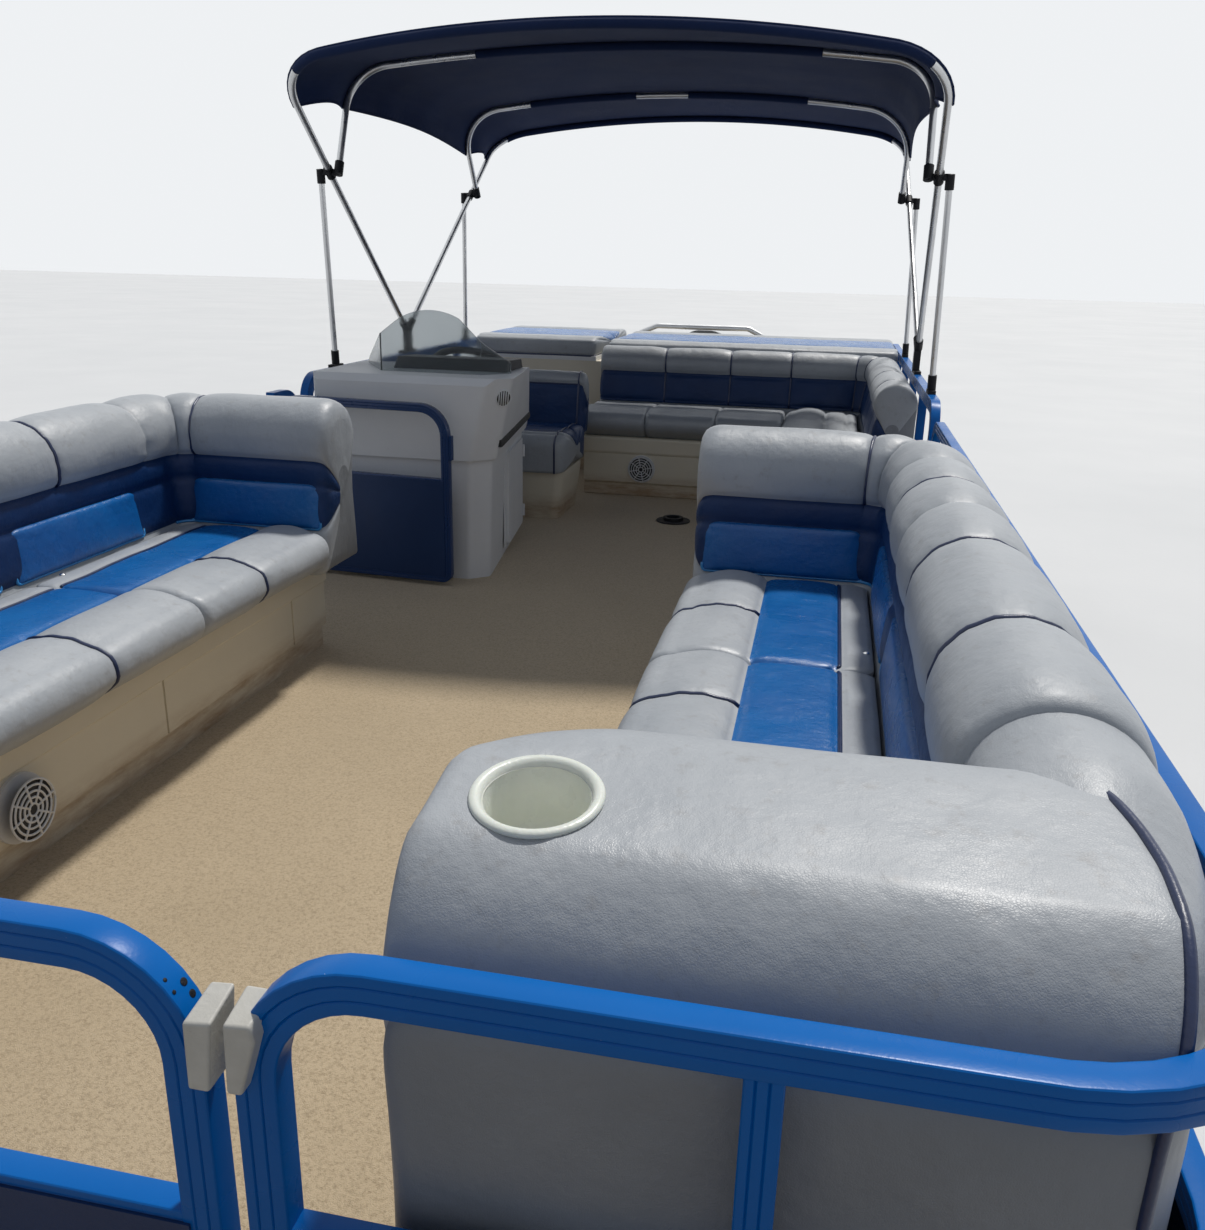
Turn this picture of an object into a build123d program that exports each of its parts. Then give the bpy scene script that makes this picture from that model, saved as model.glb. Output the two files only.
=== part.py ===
from build123d import *
import math
import os

# Pontoon boat with a bow gate, a side gate, three couches, a helm, a folding-top frame and an outboard.
# Millimetres. +X is port, +Y is aft, +Z is up. The boat stands on its two keel strips at z = 0.
os.makedirs("parts", exist_ok=True)

# Stations along the boat count from the plane of the bow fence, heights of fittings from the deck's top.
FENCE_Y = -3350.0
DECK_TOP = 750.0

# Hull
DECK_HALF = 1219.0
DECK_T = 22.0
CARPET_T = 4.0
DECK_FRONT = FENCE_Y - 750.0
DECK_REAR = FENCE_Y + 6550.0
DECK_LEN = DECK_REAR - DECK_FRONT
DECK_MID = (DECK_REAR + DECK_FRONT) / 2
TUBE_R = 292.0
TUBE_X = DECK_HALF - 294.0
KEEL_H = 14.0
TUBE_Z = KEEL_H + TUBE_R - 2.0
TUBE_FRONT = FENCE_Y - 160.0
TUBE_NOSE = FENCE_Y - 830.0
TUBE_REAR = FENCE_Y + 6350.0
RISER_H = 36.0
CROSS_Z = TUBE_Z + TUBE_R + RISER_H - 6.0
CROSS_TOP = DECK_TOP - CARPET_T - DECK_T
CROSS_COUNT = 17

# Fences
RAIL_INSET = 49.0
RAIL_X = DECK_HALF - RAIL_INSET
RAIL_T = 32.0
RAIL_H = 45.0
FOOT_H = 30.0
LOW_TOP = 648.0
HIGH_TOP = 690.0
MID_TOP = 390.0
PANEL_T = 2.5
BEND_R = 195.0
LOOP_R = 110.0
LOOP_W = 50.0
CORNER_FOOT = 140.0
BOW_POST_X = 793.5

# Bow gate
BOW_GATE_HALF = 371.0
GATE_GAP = 37.0
GATE_LOW = 45.0
PIN_R = 5.0
PIN_FIT = 0.05
KNUCKLE_R = 11.0
KNUCKLE_H = 26.0
KNUCKLE_ROWS = (180.0, 500.0)

# Side gate
SIDE_GATE_LEN = 690.0
SIDE_GATE_LOW = 15.0
SIDE_LOOP_W = 36.0
STRIKER_W = 12.0
SIDE_PIVOT_Y = FENCE_Y + 2985.0
SIDE_OPEN = 85.0

# Front couches
BACK_GAP = 8.0
BACK_OUT = RAIL_X - RAIL_T / 2 - BACK_GAP
BACK_TOP = 745.0
ARM_TOP = 730.0
ROLL_W = 200.0
BACK_FOOT = 215.0
AFT_CORNER_R = 200.0
SEAT_BASE_TOP = 285.0
COUCH_FRONT_X = BACK_OUT - 651.0
BASE_FACE_X = BACK_OUT - 526.0
COUCH_Y0 = FENCE_Y + 35.0
PORT_COUCH_Y1 = FENCE_Y + 2150.0
STAR_COUCH_Y1 = FENCE_Y + 2255.0
SEAT_SPLIT = 0.62
TOE_H = 62.0
TOE_IN = 22.0
SHELL_T = 12.0
CUP_X = COUCH_FRONT_X + 95.0
CUP_S = 120.0
CUP_TILT = 8.0
CUP_R = 42.0
CUP_DEPTH = 70.0
SPEAKER_R = 68.0

# Stern couch and sun deck
STERN_X0 = -385.0
STERN_Y0 = FENCE_Y + 4590.0
STERN_Y1 = FENCE_Y + 5250.0
STERN_BASE_TOP = 295.0
LEG_Y0 = FENCE_Y + 3760.0
LEG_X0 = BACK_OUT - 546.0
STERN_BACK_TOP = 690.0
STERN_ROLL_W = 160.0
STERN_FOOT = 195.0
SUN_Y0 = STERN_Y1 + 10.0
SUN_Y1 = FENCE_Y + 6220.0
SUN_TOP = 600.0
SUN_WALL = 20.0
LID_T = 25.0
STAR_LID_X0 = -(BACK_OUT - 6.0)
STAR_LID_X1 = -449.0
LID_BARREL_R = 7.0
LID_PIN_R = 3.0
ARCH_Y = FENCE_Y + 6330.0

# Helm
CONSOLE_X0 = -(RAIL_X - 160.0)
CONSOLE_Y0 = FENCE_Y + 3010.0
CONSOLE_Y1 = FENCE_Y + 3870.0
CONSOLE_FRONT_X = -345.0
CONSOLE_REAR_X = -452.0
CONSOLE_WAIST = 440.0
CONSOLE_TOP = 728.0
CONSOLE_FLARE = 65.0
CONSOLE_WALL = 14.0
HELM_TOP_Y = CONSOLE_Y0 + 480.0
HELM_LOW_Z = CONSOLE_WAIST + 40.0
WHEEL_R = 180.0
WHEEL_X = -640.0
CHAIR_X = -530.0
CHAIR_Y = FENCE_Y + 4235.0
TABLE_X = 158.0
TABLE_Y = FENCE_Y + 4169.0
TABLE_BORE_R = 30.5

# Folding top
TOP_TUBE_R = 12.5
TUBE_FIT = 0.2
CUP_WALL = 4.5
CUP_LEN = 40.0
HINGE_Y = 4345.0
HINGE_Z = 787.0
HINGE_X = RAIL_X - 5.0
FRONT_KNEE_Y = 3463.0
FRONT_KNEE_Z = 1419.0
REAR_KNEE_Y = 5139.0
REAR_KNEE_Z = 1429.0
KNEE_X = RAIL_X - 63.0
KNEE_STEP = 36.0
SHOULDER_X = RAIL_X - 82.0
CORNER_R = 240.0
CANOPY_GAP = 0.3
CANOPY_T = 3.0

# Outboard
TILT_Y = FENCE_Y + 6590.0
TILT_Z = 835.0
TILT_DEG = 50.0
TILT_PIN_R = 12.0
CLAMP_X = 105.0
STEER_OUT = 130.0
STEER_PIN_R = 22.0
SWIVEL_HALF = 42.0
TRANSOM_HALF = 340.0
TRANSOM_Y1 = FENCE_Y + 6600.0
TRANSOM_TOP = 775.0
LEG_OUT = STEER_OUT + 70.0
PROP_Z = -740.0
PROP_R = 165.0
PROP_SHAFT_R = 9.0


def block(x0, x1, y0, y1, z0, z1, mode=Mode.ADD):
    with Locations(((x0 + x1) / 2, (y0 + y1) / 2, (z0 + z1) / 2)):
        Box(abs(x1 - x0), abs(y1 - y0), abs(z1 - z0), mode=mode)


def rod(p, q, r, mode=Mode.ADD):
    a = Vector(*p)
    b = Vector(*q)
    d = (b - a).normalized()
    slant = Vector(0.61, 0.35, 0.71)
    with BuildSketch(Plane(origin=a, x_dir=slant - d * slant.dot(d), z_dir=d)) as disc:
        Circle(r)
    extrude(disc.sketch, amount=(b - a).length, mode=mode)


def near(vertex, points):
    return any(abs(vertex.X - s) < 1 and abs(vertex.Y - z) < 1 for s, z in points)


def bays(s0, s1, posts, first_w, last_w):
    # The open stretches between the posts of one fence frame.
    edges = [s0 + first_w]
    for post in posts:
        edges += [post - RAIL_T / 2, post + RAIL_T / 2]
    edges.append(s1 - last_w)
    return list(zip(edges[0::2], edges[1::2]))


def even_posts(a, b, count):
    return [a + (i + 1) * (b - a) / (count + 1) for i in range(count)]


def levels(z0, z1):
    return ((z0 + RAIL_T, DECK_TOP + MID_TOP - RAIL_T), (DECK_TOP + MID_TOP, z1 - RAIL_H))


def frame_sketch(plane, s0, s1, z0, z1, openings, bent, loop_w=LOOP_W):
    # A flat fence frame: s runs along the fence. The loop is bent at the named corners, the rest is square.
    windows = levels(z0, z1)
    outer = {"l": s0, "r": s1, "b": z0, "t": z1}
    inner = {"l": s0 + loop_w, "r": s1 - loop_w, "b": windows[0][0], "t": windows[-1][1]}
    with BuildSketch(plane) as sk:
        with Locations(((s0 + s1) / 2, (z0 + z1) / 2)):
            Rectangle(s1 - s0, z1 - z0)
        for a, b in openings:
            for low, high in windows:
                with Locations(((a + b) / 2, (low + high) / 2)):
                    Rectangle(b - a, high - low, mode=Mode.SUBTRACT)
        for edge, radius in ((outer, LOOP_R), (inner, LOOP_R - loop_w)):
            corners = [(edge[name[0]], edge[name[1]]) for name in bent]
            picked = [v for v in sk.vertices() if near(v, corners)]
            if picked:
                fillet(picked, radius)
    return sk.sketch


# Hull: tubes with lifted noses, keel strips, strakes and risers
with BuildPart() as pontoons:
    for side in (-1, 1):
        tube_axis = Plane(origin=(side * TUBE_X, TUBE_REAR, TUBE_Z), x_dir=(1, 0, 0), z_dir=(0, -1, 0))
        with BuildSketch(tube_axis):
            Circle(TUBE_R)
        extrude(amount=TUBE_REAR - TUBE_FRONT)
        # The nose rises to a point above the tube's centre: share of the length, radius, rise.
        nose_table = ((0.0, TUBE_R, 0.0), (0.38, 262.0, 24.0), (0.72, 180.0, 84.0), (1.0, 62.0, 168.0))
        for share, radius, rise in nose_table:
            y = TUBE_FRONT + share * (TUBE_NOSE - TUBE_FRONT)
            plane = Plane(origin=(side * TUBE_X, y, TUBE_Z + rise), x_dir=(1, 0, 0), z_dir=(0, -1, 0))
            with BuildSketch(plane):
                Circle(radius)
        loft()
        block(side * TUBE_X - 20, side * TUBE_X + 20, TUBE_FRONT, TUBE_REAR - 60, 0, KEEL_H + 20)
        for out in (-1, 1):
            x = side * TUBE_X + out * (TUBE_R - 22)
            block(x - 24, x + 24, TUBE_FRONT + 200, TUBE_REAR - 400, TUBE_Z - 70, TUBE_Z - 50)
            x = side * TUBE_X + out * 110
            block(x - 5, x + 5, TUBE_FRONT - 60, TUBE_REAR - 60, TUBE_Z + TUBE_R - 60, CROSS_Z)
pontoons.part.label = "pontoons"
export_step(pontoons.part, "parts/pontoons.step")

with BuildPart() as cross_members:
    for i in range(CROSS_COUNT):
        y = DECK_FRONT + 90 + i * (DECK_LEN - 180) / (CROSS_COUNT - 1)
        block(-DECK_HALF + 30, DECK_HALF - 30, y - 38, y + 38, CROSS_TOP - 6, CROSS_TOP)
        block(-DECK_HALF + 30, DECK_HALF - 30, y - 38, y - 32, CROSS_Z, CROSS_TOP)
        block(-DECK_HALF + 30, DECK_HALF - 30, y + 32, y + 38, CROSS_Z, CROSS_TOP)
cross_members.part.label = "cross_members"
export_step(cross_members.part, "parts/cross_members.step")

with BuildPart() as deck:
    with BuildSketch(Plane.XY.offset(CROSS_TOP)) as deck_sk:
        with Locations((0, DECK_MID)):
            Rectangle(2 * DECK_HALF, DECK_LEN)
        fillet(deck_sk.vertices(), 90)
    extrude(amount=DECK_T)
deck.part.label = "deck"
export_step(deck.part, "parts/deck.step")

with BuildPart() as deck_covering:
    with BuildSketch(Plane.XY.offset(CROSS_TOP + DECK_T)) as cover_sk:
        with Locations((0, DECK_MID)):
            Rectangle(2 * DECK_HALF - 12, DECK_LEN - 12)
        fillet(cover_sk.vertices(), 84)
    extrude(amount=CARPET_T)
deck_covering.part.label = "deck_covering"
export_step(deck_covering.part, "parts/deck_covering.step")

with BuildPart() as motor_pod:
    with BuildSketch(Plane.YZ):
        with BuildLine():
            Polyline(
                (DECK_REAR - 1000, CROSS_Z),
                (DECK_REAR - 820, TUBE_Z + 40),
                (TRANSOM_Y1 - 45, TUBE_Z + 10),
                (TRANSOM_Y1, TUBE_Z + 10),
                (TRANSOM_Y1, TRANSOM_TOP),
                (DECK_REAR + 5, TRANSOM_TOP),
                (DECK_REAR + 5, CROSS_Z),
                (DECK_REAR - 1000, CROSS_Z),
            )
        make_face()
    extrude(amount=TRANSOM_HALF, both=True)
motor_pod.part.label = "motor_pod"
export_step(motor_pod.part, "parts/motor_pod.step")

# Fences: bow sections and side rails are one bent frame on each side
BOW_IN = BOW_GATE_HALF + GATE_GAP
STRAIGHT_X = RAIL_X - BEND_R
SIDE_Y0 = FENCE_Y + BEND_R
LOW_Z0 = DECK_TOP + FOOT_H
LOW_Z1 = DECK_TOP + LOW_TOP
HIGH_Z1 = DECK_TOP + HIGH_TOP
STAR_FRONT_END = SIDE_PIVOT_Y - GATE_GAP / 2 - SIDE_GATE_LEN - GATE_GAP
PORT_FRONT_END = FENCE_Y + 3205.0
HIGH_START = PORT_FRONT_END + 55.0
HIGH_END = SUN_Y1 + 30.0
HINGE_POST_Y0 = SIDE_PIVOT_Y + GATE_GAP / 2


def feet_along_y(x, posts):
    for y in posts:
        block(x - 16, x + 16, y - 25, y + 25, DECK_TOP, DECK_TOP + FOOT_H + 2)


def side_plane_at(x):
    return Plane(origin=(x, 0, 0), x_dir=(0, 1, 0), z_dir=(1, 0, 0))


def fixed_knuckles(x, y, toward_x, toward_y):
    # Bored knuckles on an axis at x, y, each on a web that runs to the post.
    for row in KNUCKLE_ROWS:
        z = DECK_TOP + row
        block(
            min(x - 4, toward_x), max(x + 4, toward_x), min(y - 4, toward_y), max(y + 4, toward_y),
            z, z + KNUCKLE_H,
        )
        with Locations((x, y, z + KNUCKLE_H / 2)):
            Cylinder(KNUCKLE_R, KNUCKLE_H)
            Cylinder(PIN_R + PIN_FIT, KNUCKLE_H, mode=Mode.SUBTRACT)


with BuildPart() as front_fences:
    for side in (-1, 1):
        bow_plane = Plane(origin=(0, FENCE_Y, 0), x_dir=(side, 0, 0), z_dir=(0, -side, 0))
        openings = bays(BOW_IN, STRAIGHT_X, [BOW_POST_X], LOOP_W, 0)
        frame = frame_sketch(bow_plane, BOW_IN, STRAIGHT_X, LOW_Z0, LOW_Z1, openings, ("lt", "lb"))
        extrude(frame, amount=RAIL_T / 2, both=True)
        mid_z = DECK_TOP + MID_TOP
        for low, high in ((LOW_Z0, LOW_Z0 + RAIL_T), (mid_z - RAIL_T, mid_z), (LOW_Z1 - RAIL_H, LOW_Z1)):
            with BuildSketch(Plane.XY.offset(low)) as bend:
                with Locations((side * STRAIGHT_X, SIDE_Y0)):
                    Circle(BEND_R + RAIL_T / 2)
                    Circle(BEND_R - RAIL_T / 2, mode=Mode.SUBTRACT)
                with Locations((side * (STRAIGHT_X + BEND_R), SIDE_Y0 - BEND_R)):
                    Rectangle(2 * BEND_R, 2 * BEND_R, mode=Mode.INTERSECT)
            extrude(bend.sketch, amount=high - low)
        end = STAR_FRONT_END if side < 0 else PORT_FRONT_END
        posts = even_posts(SIDE_Y0, end, 3)
        openings = bays(SIDE_Y0, end, posts, 0, LOOP_W)
        side_plane = side_plane_at(side * RAIL_X)
        frame = frame_sketch(side_plane, SIDE_Y0, end, LOW_Z0, LOW_Z1, openings, ("rt", "rb"))
        extrude(frame, amount=RAIL_T / 2, both=True)
        feet_along_y(side * RAIL_X, posts + [end - CORNER_FOOT])
        for s in (BOW_IN + CORNER_FOOT, BOW_POST_X):
            x = side * s
            block(x - 25, x + 25, FENCE_Y - 16, FENCE_Y + 16, DECK_TOP, DECK_TOP + FOOT_H + 2)
    fixed_knuckles(-(BOW_GATE_HALF + GATE_GAP / 2), FENCE_Y, -BOW_IN - 2, FENCE_Y)
front_fences.part.label = "front_fences"
export_step(front_fences.part, "parts/front_fences.step")

with BuildPart() as aft_fences:
    posts = even_posts(HIGH_START, HIGH_END, 4)
    for side in (-1, 1):
        openings = bays(HIGH_START, HIGH_END, posts, LOOP_W, LOOP_W)
        side_plane = side_plane_at(side * RAIL_X)
        bent = ("lt", "lb", "rt", "rb")
        frame = frame_sketch(side_plane, HIGH_START, HIGH_END, LOW_Z0, HIGH_Z1, openings, bent)
        extrude(frame, amount=RAIL_T / 2, both=True)
        feet_along_y(side * RAIL_X, posts + [HIGH_START + CORNER_FOOT, HIGH_END - CORNER_FOOT])
    # The short post frame that carries the side gate is tied to the raised fence by one bar.
    openings = bays(HINGE_POST_Y0, PORT_FRONT_END, [], RAIL_T, LOOP_W)
    side_plane = side_plane_at(-RAIL_X)
    frame = frame_sketch(side_plane, HINGE_POST_Y0, PORT_FRONT_END, LOW_Z0, LOW_Z1, openings, ("rt",))
    extrude(frame, amount=RAIL_T / 2, both=True)
    feet_along_y(-RAIL_X, (HINGE_POST_Y0 + 27, PORT_FRONT_END - 27))
    block(
        -RAIL_X - 12, -RAIL_X + 12, PORT_FRONT_END - 10, HIGH_START + 10, LOW_Z0 + 150, LOW_Z0 + 174,
    )
    fixed_knuckles(-RAIL_X, SIDE_PIVOT_Y, -RAIL_X, HINGE_POST_Y0 + 2)
aft_fences.part.label = "aft_fences"
export_step(aft_fences.part, "parts/aft_fences.step")

PANEL_LOW = LOW_Z0 + 8
PANEL_HIGH = DECK_TOP + MID_TOP - 8
PANEL_OUT = RAIL_T / 2 + PANEL_T
with BuildPart() as fence_panels:
    for y0, y1, sides in (
        (SIDE_Y0 + 5, STAR_FRONT_END - 40, (-1,)),
        (SIDE_Y0 + 5, PORT_FRONT_END - 40, (1,)),
        (HIGH_START + 40, HIGH_END - 40, (-1, 1)),
    ):
        for side in sides:
            block(side * (RAIL_X + RAIL_T / 2), side * (RAIL_X + PANEL_OUT), y0, y1, PANEL_LOW, PANEL_HIGH)
    for side in (-1, 1):
        block(
            side * (BOW_IN + 40), side * (STRAIGHT_X - 5), FENCE_Y - PANEL_OUT, FENCE_Y - RAIL_T / 2,
            PANEL_LOW, PANEL_HIGH,
        )
fence_panels.part.label = "fence_panels"
export_step(fence_panels.part, "parts/fence_panels.step")

GATE_Z0 = DECK_TOP + GATE_LOW
with BuildPart() as bow_gate:
    gate_plane = Plane(origin=(0, FENCE_Y, 0), x_dir=(1, 0, 0), z_dir=(0, -1, 0))
    openings = bays(-BOW_GATE_HALF, BOW_GATE_HALF, [0.0], LOOP_W, LOOP_W)
    frame = frame_sketch(
        gate_plane, -BOW_GATE_HALF, BOW_GATE_HALF, GATE_Z0, LOW_Z1, openings, ("lt", "rt", "lb", "rb"),
    )
    extrude(frame, amount=RAIL_T / 2, both=True)
    block(
        -BOW_GATE_HALF + 40, BOW_GATE_HALF - 40, FENCE_Y - PANEL_OUT, FENCE_Y - RAIL_T / 2 + 0.5,
        GATE_Z0 + 28, PANEL_HIGH,
    )
    for row in KNUCKLE_ROWS:
        x = -(BOW_GATE_HALF + GATE_GAP / 2)
        z = DECK_TOP + row
        block(x, -BOW_GATE_HALF + 2, FENCE_Y - 4, FENCE_Y + 4, z - 14, z - 1)
        with Locations((x, FENCE_Y, z - 7.5)):
            Cylinder(KNUCKLE_R, 13)
        with Locations((x, FENCE_Y, z + 8)):
            Cylinder(PIN_R, 34)
bow_gate.part.label = "bow_gate"
export_step(bow_gate.part, "parts/bow_gate.step")

# The side gate is drawn along its own plane, standing open.
open_rad = math.radians(SIDE_OPEN)
GATE_DIR = (math.sin(open_rad), -math.cos(open_rad), 0)
GATE_FACE = (-math.cos(open_rad), -math.sin(open_rad), 0)
side_gate_plane = Plane(origin=(-RAIL_X, SIDE_PIVOT_Y, 0), x_dir=GATE_DIR, z_dir=GATE_FACE)
GATE_S0 = GATE_GAP / 2
GATE_S1 = GATE_S0 + SIDE_GATE_LEN
with BuildPart() as side_gate:
    openings = bays(GATE_S0, GATE_S1, [], SIDE_LOOP_W, SIDE_LOOP_W)
    side_z0 = DECK_TOP + SIDE_GATE_LOW
    frame = frame_sketch(
        side_gate_plane, GATE_S0, GATE_S1, side_z0, LOW_Z1, openings, ("lt", "rt", "lb", "rb"), SIDE_LOOP_W,
    )
    extrude(frame, amount=RAIL_T / 2, both=True)
    with BuildSketch(side_gate_plane.offset(RAIL_T / 2 - 0.5)) as panel:
        with Locations(((GATE_S0 + GATE_S1) / 2, (side_z0 + 28 + PANEL_HIGH) / 2)):
            Rectangle(SIDE_GATE_LEN - 2 * SIDE_LOOP_W + 20, PANEL_HIGH - side_z0 - 28)
    extrude(panel.sketch, amount=PANEL_T + 0.5)
    for row in KNUCKLE_ROWS:
        z = DECK_TOP + row
        with BuildSketch(side_gate_plane) as web:
            with Locations(((GATE_S0 + 2) / 2, z - 7.5)):
                Rectangle(GATE_S0 + 2, 13)
        extrude(web.sketch, amount=4, both=True)
        with Locations((-RAIL_X, SIDE_PIVOT_Y, z - 7.5)):
            Cylinder(KNUCKLE_R, 13)
        with Locations((-RAIL_X, SIDE_PIVOT_Y, z + 8)):
            Cylinder(PIN_R, 34)
    with BuildSketch(side_gate_plane) as striker:
        with Locations((GATE_S1 + STRIKER_W / 2, DECK_TOP + 500)):
            Rectangle(STRIKER_W, 90)
    extrude(striker.sketch, amount=11, both=True)
side_gate.part.label = "side_gate"
export_step(side_gate.part, "parts/side_gate.step")

# The two blocks of the gate latch sit on the outer faces of the rails.
LATCH_FACE = FENCE_Y - RAIL_T / 2
LATCH_D = 26.0
with BuildPart() as bow_gate_latch:
    block(
        BOW_GATE_HALF - 38, BOW_GATE_HALF + 14, LATCH_FACE - LATCH_D, LATCH_FACE,
        DECK_TOP + 512, DECK_TOP + 600,
    )
    fillet(bow_gate_latch.edges().filter_by(Axis.Y), 8)
    block(
        BOW_GATE_HALF - 30, BOW_GATE_HALF + 2, LATCH_FACE - LATCH_D - 8, LATCH_FACE - LATCH_D,
        DECK_TOP + 575, DECK_TOP + 592,
    )
bow_gate_latch.part.label = "bow_gate_latch"
export_step(bow_gate_latch.part, "parts/bow_gate_latch.step")

with BuildPart() as bow_gate_keeper:
    block(
        BOW_IN - 16, BOW_IN + 34, LATCH_FACE - LATCH_D, LATCH_FACE, DECK_TOP + 508, DECK_TOP + 598,
    )
    fillet(bow_gate_keeper.edges().filter_by(Axis.Y), 8)
bow_gate_keeper.part.label = "bow_gate_keeper"
export_step(bow_gate_keeper.part, "parts/bow_gate_keeper.step")


# Front couches: moulded bases with a proud band below the seat, open underneath
def base_section(plane, depth, top):
    # Moulded couch base across its depth: s = 0 at the front face, growing towards the back.
    with BuildSketch(plane) as sk:
        with BuildLine():
            Polyline(
                (TOE_IN, 0), (TOE_IN, TOE_H), (8, TOE_H + 8), (8, top - 84), (0, top - 76),
                (0, top - 8), (8, top), (depth, top), (depth, 0), (TOE_IN, 0),
            )
        make_face()
    return sk.sketch


GROOVE_W = 7.0
GROOVE_D = 5.0
PORT_GROOVES = (720.0, 1420.0)
STAR_GROOVES = (720.0, 1420.0, 2040.0)
with BuildPart() as front_couch_bases:
    for side, y1, grooves in ((-1, STAR_COUCH_Y1, STAR_GROOVES), (1, PORT_COUCH_Y1, PORT_GROOVES)):
        y0 = COUCH_Y0 + 15
        y1 = y1 - 10
        depth = BACK_OUT - BASE_FACE_X
        start = y0 if side < 0 else y1
        plane = Plane(origin=(side * BASE_FACE_X, start, DECK_TOP), x_dir=(side, 0, 0), z_dir=(0, -side, 0))
        extrude(base_section(plane, depth, SEAT_BASE_TOP), amount=y1 - y0)
        block(
            side * (BASE_FACE_X + TOE_IN + SHELL_T), side * (BACK_OUT - SHELL_T),
            y0 + SHELL_T, y1 - SHELL_T,
            DECK_TOP - 1, DECK_TOP + SEAT_BASE_TOP - SHELL_T, mode=Mode.SUBTRACT,
        )
        for groove in grooves:
            y = FENCE_Y + groove
            block(
                side * (BASE_FACE_X - 1), side * (BASE_FACE_X + 8 + GROOVE_D),
                y - GROOVE_W / 2, y + GROOVE_W / 2,
                DECK_TOP + TOE_H + 6, DECK_TOP + SEAT_BASE_TOP - 80, mode=Mode.SUBTRACT,
            )
        # The fence's bend cuts the outer front corner of the moulding.
        with BuildSketch(Plane.XY.offset(DECK_TOP - 2)) as corner:
            with Locations((side * (BACK_OUT - 85), COUCH_Y0 + 85)):
                Rectangle(171, 171)
            with Locations((side * (BACK_OUT - 171), COUCH_Y0 + 171)):
                Circle(171, mode=Mode.SUBTRACT)
        extrude(corner.sketch, amount=SEAT_BASE_TOP + 4, mode=Mode.SUBTRACT)
front_couch_bases.part.label = "front_couch_bases"
export_step(front_couch_bases.part, "parts/front_couch_bases.step")


def seat_section(plane, reach):
    # Seat cushion across its depth: s runs from the front roll to the back, t is height above the base.
    with BuildSketch(plane) as sk:
        with BuildLine():
            Polyline((74, 0), (reach, 0), (reach, 122), (215, 126))
            ThreePointArc((215, 126), (120, 137), (48, 122))
            ThreePointArc((48, 122), (0, 76), (26, 32))
            Line((26, 32), (74, 0))
        make_face()
    return sk.sketch


SEAT_REACH = BACK_OUT - BACK_FOOT - 4 - COUCH_FRONT_X
with BuildPart() as front_seat_cushions:
    for side, y1 in ((-1, STAR_COUCH_Y1), (1, PORT_COUCH_Y1)):
        split = COUCH_Y0 + SEAT_SPLIT * (y1 - COUCH_Y0)
        cuts = (COUCH_Y0 + BACK_FOOT + 4, split, y1 - BACK_FOOT - 4)
        for a, b in zip(cuts[:-1], cuts[1:]):
            plane = Plane(
                origin=(side * COUCH_FRONT_X, a + 2 if side < 0 else b - 2, DECK_TOP + SEAT_BASE_TOP),
                x_dir=(side, 0, 0), z_dir=(0, -side, 0),
            )
            extrude(seat_section(plane, SEAT_REACH), amount=b - a - 4)
front_seat_cushions.part.label = "front_seat_cushions"
export_step(front_seat_cushions.part, "parts/front_seat_cushions.step")


def back_run(origin, inward, along, length, low, high, foot, roll):
    # A straight run of back cushion: s = 0 at the outer face, growing towards the seat.
    plane = Plane(origin=origin, x_dir=inward, z_dir=along)
    up = 1 if plane.y_dir.Z > 0 else -1
    r = roll / 2
    tuck = (roll - 14, up * (high - 1.5 * r))
    widest = (roll, up * (high - r))
    outer = (0, up * (high - r))
    with BuildSketch(plane) as sk:
        with BuildLine():
            Polyline(outer, (0, up * low), (foot, up * low), tuck)
            ThreePointArc(tuck, (roll - 2, up * (high - 1.28 * r)), widest)
            ThreePointArc(widest, (r, up * high), outer)
        make_face()
    extrude(sk.sketch, amount=length)


def front_arm(side, length):
    # The arm at the bow has a broad top that leans a little towards the bow and carries the cup holder.
    plane = Plane(origin=(side * (BACK_OUT - 6), COUCH_Y0, 0), x_dir=(0, 1, 0), z_dir=(-side, 0, 0))
    up = 1 if plane.y_dir.Z > 0 else -1
    low = DECK_TOP + 2
    high = DECK_TOP + ARM_TOP
    lean = math.tan(math.radians(CUP_TILT))
    flat_high = high - 9.4
    flat_low = flat_high - 104 * lean
    seat = DECK_TOP + SEAT_BASE_TOP
    with BuildSketch(plane) as sk:
        with BuildLine():
            Polyline(
                (0, up * (high - 150)), (0, up * low), (15, up * low), (15, up * seat),
                (BACK_FOOT, up * seat), (216, up * (high - 150)),
            )
            ThreePointArc((216, up * (high - 150)), (232, up * (high - 78)), (172, up * flat_high))
            Line((172, up * flat_high), (68, up * flat_low))
            ThreePointArc((68, up * flat_low), (18, up * (high - 72)), (0, up * (high - 150)))
        make_face()
    extrude(sk.sketch, amount=length)


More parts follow.
